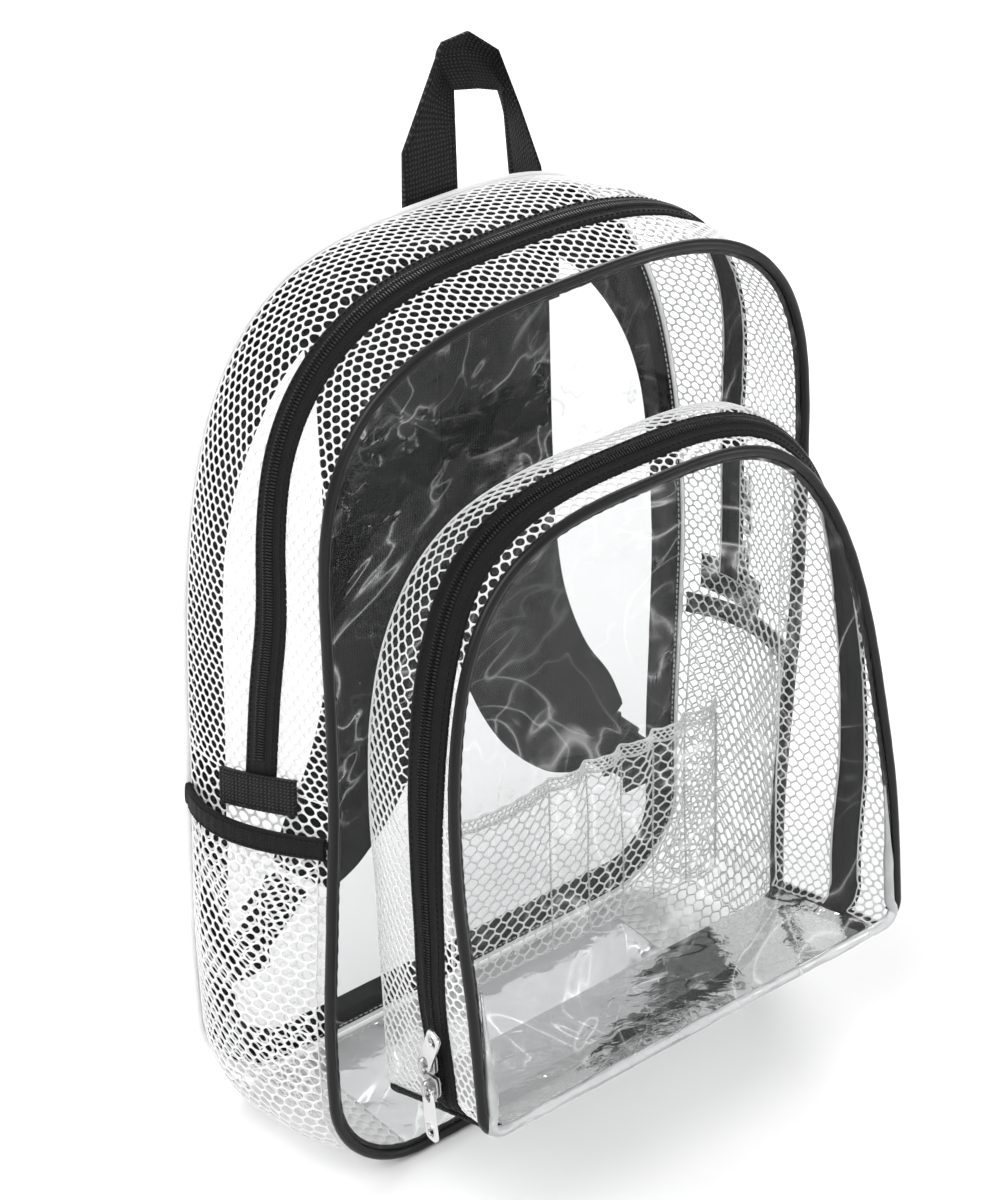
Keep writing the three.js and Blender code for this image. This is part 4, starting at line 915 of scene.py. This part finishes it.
def buildEndTabs():
    tab = dict(width=46, height=19, tilt=7)
    for name, sign, lift in sides:
        on = lambda share: share if sign > 0 else 1 - share
        middle = zipperMiddle(zipperStart if sign > 0 else zipperLast)
        end = zipperEnd + lift
        low, high = mainSeam.shareAt(end - .7 * tab["height"]), mainSeam.shareAt(end + .3 * tab["height"])
        tilt = 0 if sign > 0 else tab["tilt"] / tab["width"] / mainSeam.length

        def patch(across, share, proud):
            edge = np.abs((share - (low + high) / 2) / (high - low) * 2)
            rib = .18 * np.sin(across * 2.1) - .6 * smooth(edge, .86, 1)
            rib = rib - .5 * smooth(np.abs(across), 21, 23)
            return gussetPoint(on(share - tilt * across), middle + across, 3.2 + rib + proud)

        across = np.linspace(-.5, .5, 60) * tab["width"]
        strip = sheetPiece("tabStrip", across, np.linspace(low, high, 14), patch, looks["webbing"], 2.)
        margin = .12 * (high - low)
        rows = seamRows("tabSeam", patch, across[3:-3], (low + margin, high - margin), .1)
        wear(joinPieces("zipperEnd_" + name, [strip, *rows]), "black_webbing", "zipper_end_" + name)

        def pocketTab(share, v, proud):
            across = .04 + v * (1 - beltShare(on(share), bag["inset"]) - .04)
            edge = np.abs(share - pocketEnd) / .005
            rib = .15 * np.sin(v * 90) - .6 * smooth(edge, .8, 1)
            return beltPoint(on(share), across, 3.2 + rib + proud)

        strip = sheetPiece("pocketTab", np.linspace(pocketEnd - .005, pocketEnd + .005, 12),
                           np.linspace(0, 1, 60), pocketTab, looks["webbing"], 2.)
        wear(strip, "black_webbing", "pocket_end_" + name)
    print("end tabs done")


def buildBackBorder():
    def at(share, v, proud):
        x, z, outX, outZ = backArch.walk(share)
        inner = 2.95 + 18 + 16 * smooth(z, 300, 435)
        inset = 2.95 + v * (inner - 2.95)
        lift = .35 * np.sin(np.pi * v) + .15 * softNoise(share * 120, v * 3, 71) - .5 * smooth(v, .93, 1)
        return np.stack([x - outX * inset, 50.2 + lift + proud, z - outZ * inset], -1)

    shares = np.linspace(.0006, .9994, 320)
    strip = sheetPiece("borderStrip", shares, np.linspace(0, 1, 8), at, looks["cloth"], .9)
    rows = []
    for v in (.12, .88):
        row = at(shares, v + 0 * shares, .1)
        rows.append(stitchRow("borderSeam", row, facing(row, 1), looks["blackThread"]))
    wear(joinPieces("backBorder", [strip, *rows]), "black_cloth", "back_border")
    print("back border done")


def buildHaulLoop():
    rows = [(-.46, 0, -.11, 0, 0, 0), (-.43, .57, -.11, .56, 0, 0), (-.29, .78, -.11, .68, .1, .3),
            (-.14, .99, -.11, .78, .3, 1), (.03, 1, .04, .75, .35, 1), (.2, .88, .2, .7, .3, 1),
            (.35, .58, .215, .5, .6, .2), (.51, .24, .235, .24, 1, 0), (.54, 0, .235, 0, 1, 0)]
    keys = np.arange(len(rows))
    outer, outerUp, inner, innerUp, back, cup = np.array(rows, float).T

    def at(row, v, proud):
        # straight between the rows, as in the CAD, with the folds just eased
        soft = lambda values: np.interp(row, keys, values)
        x = 28 + 94 * (soft(inner) + (soft(outer) - soft(inner)) * v)
        z = 404 + 108 * (soft(innerUp) + (soft(outerUp) - soft(innerUp)) * v)
        curl = 8 * soft(cup) * np.sin(np.pi * v)
        y = 52.95 + 10 * soft(back) * v + curl
        edge = .5 * smooth(np.abs(2 * v - 1), .9, 1)
        return np.stack([x, y - proud + edge, z], -1)

    us = np.concatenate([np.linspace(k, k + 1, 12, endpoint=False) for k in range(8)] + [[8.]])
    loop = sheetPiece("loopBand", us, np.linspace(0, 1, 22), at, looks["webbing"], 2.2)
    rows = seamRows("loopSeam", at, us, (.06, .94))
    wear(joinPieces("haulLoop", [loop, *rows]), "black_webbing", "haul_loop")
    print("haul loop done")


def strapLine(sign):
    table = [(0, 0), (.3, 0), (.52, .03), (.68, .14), (.83, .4), (.93, .72), (1, 1)]
    points = [Vector((sign * (34.5 + 62 * aside), 50.85, 366 - 262 * down)) for down, aside in table]
    # a centripetal Catmull-Rom line, as three.js draws it
    def knot(t, p, q):
        return t + (q - p).length ** .5
    places = []
    full = [points[0] * 2 - points[1], *points, points[-1] * 2 - points[-2]]
    for k in range(1, len(full) - 2):
        p = full[k - 1:k + 3]
        t = [0.]
        for a, b in zip(p, p[1:]):
            t.append(knot(t[-1], a, b))
        for u in np.linspace(t[1], t[2], 60, endpoint=k == len(full) - 3):
            a = [p[i] * ((t[i + 1] - u) / (t[i + 1] - t[i])) + p[i + 1] * ((u - t[i]) / (t[i + 1] - t[i]))
                 for i in range(3)]
            b = [a[i] * ((t[i + 2] - u) / (t[i + 2] - t[i])) + a[i + 1] * ((u - t[i]) / (t[i + 2] - t[i]))
                 for i in range(2)]
            places.append(b[0] * ((t[2] - u) / (t[2] - t[1])) + b[1] * ((u - t[1]) / (t[2] - t[1])))
    return np.array(places)


def buildStraps():
    strap = dict(width=68, thickness=9)
    wideRows = [(0, 1), (.3, 1), (.52, 1), (.68, 1), (.83, .95), (.93, .85), (1, .62)]
    for name, sign in (("right", 1), ("left", -1)):
        line = strapLine(sign)
        run = np.concatenate([[0], np.cumsum(np.linalg.norm(np.diff(line, axis=0), axis=1))])
        run /= run[-1]
        pick = lambda v: np.stack([np.interp(v, run, line[:, k]) for k in range(3)], -1)

        def pad(u, v, proud):
            point = pick(v)
            ahead = pick(np.clip(v + .01, 0, 1)) - pick(np.clip(v - .01, 0, 1))
            ahead /= np.linalg.norm(ahead, axis=-1)[..., None]
            wide = readTable(wideRows, v) * strap["width"] / 2
            roundness = 1 - .65 * np.abs(u) ** 4
            channel = 1.1 * np.exp(-((np.abs(u) - .8) / .035) ** 2)
            crumple = .35 * softNoise(v * 26, u * 2.4, 81 + sign) + .25 * softNoise(v * 60, u * 5, 86)
            endFade = smooth(v, 0, .03) * smooth(1 - v, 0, .03)
            thick = strap["thickness"] * roundness * (.55 + .45 * endFade)
            thick = thick - channel + crumple * (1 - u ** 2)
            shift = u * wide
            x = point[..., 0] - ahead[..., 2] * shift
            z = point[..., 2] + ahead[..., 0] * shift
            y = point[..., 1] + np.where(proud < 0, 0., np.maximum(thick, .9) + proud)
            return np.stack([x, y, z], -1)

        us = np.concatenate([[-1, -.97, -.92], np.linspace(-.88, .88, 37), [.92, .97, 1]])
        body = sheetPiece("strapPad", np.linspace(0, 1, 110), us,
                          lambda v, u, proud: pad(u, v, proud), looks["pad"], 1.)
        parts = [body]
        vs = np.linspace(.004, .996, 130)
        for edge in (-1, 1):
            path = pad(edge * .985 + 0 * vs, vs, 0.)
            path[:, 1] = 50.85 + 2.1
            parts.append(tubePiece("strapWelt", path, 1.7, looks["elastic"], sides=8))
            row = pad(edge * .8 + 0 * vs, vs, .12)
            parts.append(stitchRow("strapSeam", row, facing(row, 1), looks["blackThread"]))
        piece = joinPieces("shoulderStrap_" + name, parts)
        wear(piece, "black_cloth", "shoulder_strap_" + name)
        buildWebbing(sign, name, line)
    buildYoke()
    print("straps done")


def roundedPatch(name, centre, size, look):
    # a stitched patch of webbing that lies flat against the back
    wide, wall, high = size
    xs, zs = np.linspace(-1, 1, 28), np.linspace(-1, 1, 22)

    def at(u, v, proud):
        corner = np.maximum(smooth(np.abs(u), .9, 1), smooth(np.abs(v), .86, 1))
        y = centre[1] + np.where(proud < 0, 0., wall - .5 * corner + .15 * np.sin(u * wide))
        return np.stack([centre[0] + u * wide / 2, y, centre[2] + v * high / 2], -1)

    t = np.linspace(0, 1, 40)
    parts = [sheetPiece(name, xs, zs, at, look, wall)]
    box = [(-.84, -.78), (.84, -.78), (.84, .78), (-.84, .78), (-.84, -.78), (.84, .78)]
    for (a, b), (c, d) in zip(box, box[1:]):
        row = at(a + (c - a) * t, b + (d - b) * t, .08)
        parts.append(stitchRow("patchSeam", row, facing(row, 1), looks["blackThread"]))
    return joinPieces(name, parts)


def buildYoke():
    piece = roundedPatch("strapYoke", (0, 50.85, 383.35), (150, 2.2, 34), looks["cloth"])
    wear(piece, "black_cloth", "strap_yoke")


def buildWebbing(sign, name, line):
    end = line[-1]
    anchor = np.array([sign * 132. - 4, end[1], 72.])
    ahead = anchor - end
    ahead /= np.linalg.norm(ahead)
    start = end + 5 * ahead
    length = np.linalg.norm(anchor - start)
    aside = np.array([-ahead[2], 0, ahead[0]])
    aside *= np.sign(aside[0])
    face = 50.85

    def onRun(across, down, out):
        point = start + np.asarray(down)[..., None] * ahead + np.asarray(across)[..., None] * aside
        point[..., 1] = face + out
        return point

    def strip(down, u, proud):
        edge = .45 * smooth(np.abs(u), .86, 1)
        rib = .1 * np.sin(u * 26)
        out = np.where(proud < 0, 2.55 + edge, 4.75 - edge + rib)
        return onRun(u * 12.5, down, out)

    band = sheetPiece("strapWebbing_" + name, np.linspace(0, length, 60), np.linspace(-1, 1, 24), strip,
                      looks["webbing"], 1.)
    wear(band, "black_webbing", "strap_webbing_" + name)
    wear(roundedPatch("strapAnchor_" + name, (anchor[0], face, 72), (31, 2.2, 21), looks["webbing"]),
         "black_webbing", "strap_anchor_" + name)
    # ladder lock: a frame of round bars
    parts = []
    middle = 14.
    base = 4.75 + fit + 2.
    corners = [(-1, -1), (1, -1), (1, 1), (-1, 1)]
    ring = []
    for k, (a, b) in enumerate(corners):
        turn = np.linspace(-.5, 0, 6) * np.pi + k * np.pi / 2
        ring += [(a * 13.5 + 2 * math.cos(t), b * 9.5 + 2 * math.sin(t)) for t in turn]
    ring = np.array(ring)
    parts.append(tubePiece("lockRing", onRun(ring[:, 0], middle + ring[:, 1], base + 0 * ring[:, 0]), 1.6,
                           looks["plastic"], closed=True, sides=12))
    for offset in (-9.3, 0, 9.3):
        xs = np.linspace(-14.5, 14.5, 16)
        parts.append(tubePiece("lockBar", onRun(xs, middle + offset + 0 * xs, base + .3 + 0 * xs), 1.7,
                               looks["plastic"], sides=10))
    lock = joinPieces("ladderLock_" + name, parts)
    wear(lock, "buckle_plastic", "ladder_lock_" + name)


def sliderFrames():
    # where each slider sits, as in the CAD: origin on the pull's pin, down the zipper, away from it
    coilTop = fit + 1.6
    mainHeight, mainStep, pocketHeight, pocketStep = 252., 38, 98., 14
    onGusset = lambda share, across: gussetPoint(share, across, coilTop)
    onBelt = lambda share, across: beltPoint(share, across, coilTop)
    spots = []
    for k, level in enumerate(("upper", "lower")):
        share = mainSeam.shareAt(mainHeight - mainStep * k)
        spots.append(("main_slider_" + level, "main_pull_" + level, onGusset, share, zipperMiddle(share),
                      1., False, 0))
        tries = np.linspace(.05, .45, 4000)
        heights = beltPoint(1 - tries, pocketMiddle(1 - tries), 0.)[:, 2]
        place = np.interp(pocketHeight - pocketStep * k, heights, tries)
        spots.append(("pocket_slider_" + level, "pocket_pull_" + level, onBelt, 1 - place,
                      pocketMiddle(1 - place), .02, k == 0, -math.radians(28) if k == 0 else 0))
    frames = []
    for slider, pull, at, share, across, step, raised, skew in spots:
        seat = at(share, across)
        down = at(share + .003, across) - at(share - .003, across)
        if down[2] > 0:
            down = -down
        aside = at(share, across + step) - at(share, across - step)
        away = np.cross(down, aside)
        away /= np.linalg.norm(away)
        if away[0] * seat[0] < 0:
            away = -away
        down /= np.linalg.norm(down)
        origin = seat + away * (3 + 2.2 + 2 * fit)
        turn = np.stack([down, away, np.cross(down, away)], 1)
        frames.append((slider, pull, origin, turn, raised, skew))
    return frames


def extrude(outline, holes, low, high, bevel, name):
    # a plate from an outline with holes, with rounded edges; outline in local x and z
    curve = bpy.data.curves.new(name, "CURVE")
    curve.dimensions = "2D"
    curve.fill_mode = "BOTH"
    for ring in [outline, *holes]:
        spline = curve.splines.new("POLY")
        spline.points.add(len(ring) - 1)
        for point, (x, y) in zip(spline.points, ring):
            point.co = (x, y, 0, 1)
        spline.use_cyclic_u = True
    curve.extrude = (high - low) / 2 - bevel
    curve.bevel_depth = bevel
    curve.bevel_resolution = 2
    curve.offset = -bevel
    shape = bpy.data.objects.new(name, curve)
    scene.collection.objects.link(shape)
    graph = bpy.context.evaluated_depsgraph_get()
    mesh = bpy.data.meshes.new_from_object(shape.evaluated_get(graph))
    bpy.data.objects.remove(shape)
    co = np.zeros(len(mesh.vertices) * 3, np.float32)
    mesh.vertices.foreach_get("co", co)
    co = co.reshape(-1, 3) + [0, 0, (low + high) / 2]
    faces = [list(face.vertices) for face in mesh.polygons]
    return co, faces


def circle(x, y, rx, ry=None, count=28, start=0.0, end=2 * math.pi):
    turn = np.linspace(start, end, count, endpoint=abs(end - start) < 6.2)
    return [(x + rx * math.cos(t), y + (ry or rx) * math.sin(t)) for t in turn]


def placed(name, parts, origin, turn, look, spin=0.0):
    # parts are (points, faces) in a slider's own frame
    points, faces, start = [], [], 0
    for co, quads in parts:
        points.append(co)
        faces += [[v + start for v in face] for face in quads]
        start += len(co)
    points = np.concatenate(points)
    if spin:
        points = points * [math.cos(spin), math.cos(spin), 1]
    piece = makePiece(name, points @ turn.T + origin, faces, look)
    edge = piece.modifiers.new("edges", "EDGE_SPLIT")
    edge.split_angle = math.radians(50)
    bake(piece)
    return piece


def tubeParts(path, radius, sides=8, closed=False):
    piece = tubePiece("part", path, radius, looks["metal"], sides, closed)
    co = np.zeros(len(piece.data.vertices) * 3, np.float32)
    piece.data.vertices.foreach_get("co", co)
    faces = [list(face.vertices) for face in piece.data.polygons]
    bpy.data.objects.remove(piece)
    return co.reshape(-1, 3) * 1000, faces


def buildSliders():
    pull = dict(length=30, width=9, wall=1.6, grip=2.9)
    for slider, pullNode, origin, turn, raised, skew in sliderFrames():
        # slider: two wings with a waist, flanges and an arched bail
        side = [(-6, -3.4), (-3.4, -4.5), (3.2, -4.1), (6, -2.6), (6, 2.6), (3.2, 4.1), (-3.4, 4.5),
                (-6, 3.4)]
        swap = lambda co: np.stack([co[:, 0], co[:, 2], -co[:, 1]], -1)
        top, faces = extrude(side, [], -2.2 - 1.2, -2.2, .35, "wing")
        base, baseFaces = extrude([(x * .96, y * .96) for x, y in side], [], -2.2 - 3., -2.2 - 1.9, .3,
                                  "base")
        post, postFaces = extrude(circle(2.6, 0, 2., 1.2, 16), [], -5., -3., .1, "post")
        arch = [(-4.3, -2.4, 0), (-4.35, -.6, 0), (-4.1, 1.2, 0), (-3., 2.2, 0), (0, 2.5, 0), (3., 2.2, 0),
                (4.1, 1.2, 0), (4.35, -.6, 0), (4.3, -2.4, 0)]
        bail = tubeParts(arch, .62, 10)
        wide = (bail[0] * [1, 1, 1.9], bail[1])
        parts = [(swap(top), faces), (swap(base), baseFaces), (swap(post), postFaces), wide]
        body = placed(slider + "Body", parts,
                      origin, turn, looks["slider"])
        wear(body, "pull_metal", slider)
        # pull: a tapered plate with a long eye, a round grip hole and a raised border
        length, half = pull["length"], pull["width"] / 2
        outline = ([(-1.2, -half + 1.4), (0, -half + .5), (2, -half + .2), (length - 3, -half)]
                   + circle(length - 3, -half + 3, 3, 3, 7, -math.pi / 2, 0)
                   + circle(length - 3, half - 3, 3, 3, 7, 0, math.pi / 2)
                   + [(length - 3, half), (2, half - .2), (0, half - .5), (-1.2, half - 1.4)])
        eye = circle(4.1, 0, 3.2, 2.3, 22)
        grip = circle(length - 6, 0, pull["grip"], None, 26)
        wall = pull["wall"] / 2
        holes = [eye[::-1], grip[::-1]]
        plate, plateFaces = extrude(outline, holes, -wall, wall, .3, "plate")
        rim = [(a, b, 0) for a, b in circle(length - 6, 0, pull["grip"] + .5, None, 28)]
        ringPoints, ringFaces = tubeParts(rim, .42, 6, True)
        parts = [(plate, plateFaces)]
        for lift in (-wall + .05, wall - .05):
            parts.append((ringPoints + [0, 0, lift], ringFaces))
        turned = []
        c, s = math.cos(skew), math.sin(skew)
        for co, quads in parts:
            co = np.stack([co[:, 0] * c - co[:, 1] * s, co[:, 0] * s + co[:, 1] * c, co[:, 2]], -1)
            turned.append((np.stack([co[:, 0], -co[:, 2], co[:, 1]], -1), quads))
        pin = tubeParts([(0, 0, -3.9), (0, 0, -1.6), (0, 0, 1.6), (0, 0, 3.9)], 1.15, 12)
        turned.append(pin)
        spin = math.pi if raised else 0.0
        name = pullNode.replace("_pull_", "Pull_")
        piece = placed(name, turned, origin, turn, looks["metal"], spin)
        wear(piece, "pull_metal", pullNode, body=pullNode)
    print("sliders and pulls done")


buildMainPanels()
buildPocketFront()
buildPiping()
buildMainZipper()
buildPocketZipper()
buildGussetNets()
buildSidePockets()
buildPocketNets()
buildOrganizer()
buildEndTabs()
buildBackBorder()
buildHaulLoop()
buildStraps()
buildSliders()


def buildStudio():
    look, tree = newLook("studioFloor")
    place = addNode(tree, "TexCoord").outputs["Object"]
    grain = addNode(tree, "TexNoise", {"Vector": place}, Scale=3., Detail=3.)
    tone = ramp(tree, grain.outputs["Fac"], (.3, .86), (.7, .88))
    skin = addNode(tree, "BsdfPrincipled", {"Base Color": tone}, Roughness=.9)
    skin.inputs["Specular IOR Level"].default_value = .1
    addNode(tree, "OutputMaterial", {"Surface": skin.outputs[0]})
    bpy.ops.mesh.primitive_plane_add(size=40, location=(0, 0, 0))
    floor = bpy.context.object
    floor.name = "studioFloor"
    floor.data.materials.append(look)
    world = bpy.data.worlds.new("studio")
    scene.world = world
    world.use_nodes = True
    tree = world.node_tree
    tree.nodes.clear()
    way = addNode(tree, "TexCoord").outputs["Generated"]
    up = addNode(tree, "SeparateXYZ", {"Vector": way}).outputs["Z"]
    tone = ramp(tree, up, (0., .55), (.35, .6), (1., .95))
    sky = addNode(tree, "Background", {"Color": tone}, Strength=1.)
    out = tree.nodes.new("ShaderNodeOutputWorld")
    tree.links.new(sky.outputs[0], out.inputs["Surface"])
    lights = [
        ("keyBox", (-1.7, -.1, 2.5), (2.2, 2.2), 60, (0, 0, .2)),
        ("backBox", (1.15, 1.45, 1.35), (1.3, .9), 26, (0, 0, .3)),
        ("stripRight", (1.9, -1.6, 1.1), (.25, 1.8), 14, (0, 0, .25)),
        ("stripFront", (-.4, -2.4, .5), (1.6, .12), 6, (0, 0, .2)),
    ]
    for name, spot, size, power, aim in lights:
        lamp = bpy.data.lights.new(name, "AREA")
        lamp.shape = "RECTANGLE"
        lamp.size, lamp.size_y = size
        lamp.energy = power
        holder = bpy.data.objects.new(name, lamp)
        holder.location = spot
        holder.rotation_euler = (Vector(aim) - Vector(spot)).to_track_quat("-Z", "Y").to_euler()
        scene.collection.objects.link(holder)
    scene.view_settings.view_transform = "Standard"
    scene.cycles.transparent_max_bounces = 24


def buildCamera():
    view = dict(azimuth=-38.05, elevation=31.62, roll=-1.94, distance=1.7285, target=(0, .0129, .2127))
    a, e, roll = (math.radians(view[key]) for key in ("azimuth", "elevation", "roll"))
    back = Vector((math.sin(a) * math.cos(e), -math.cos(a) * math.cos(e), math.sin(e)))
    right = Vector((math.cos(a), math.sin(a), 0))
    up = back.cross(right)
    turned = right * math.cos(roll) + up * math.sin(roll)
    upright = up * math.cos(roll) - right * math.sin(roll)
    spot = Vector(view["target"]) + back * view["distance"]
    data = bpy.data.cameras.new("photoCamera")
    data.sensor_fit = "VERTICAL"
    data.sensor_height = 36
    data.lens = 106.67
    data.shift_x, data.shift_y = .002, .0444
    data.clip_end = 60
    camera = bpy.data.objects.new("photoCamera", data)
    camera.matrix_world = Matrix((
        (turned.x, upright.x, back.x, spot.x),
        (turned.y, upright.y, back.y, spot.y),
        (turned.z, upright.z, back.z, spot.z),
        (0, 0, 0, 1)))
    scene.collection.objects.link(camera)
    scene.camera = camera


buildStudio()
buildCamera()
print("studio and camera done")
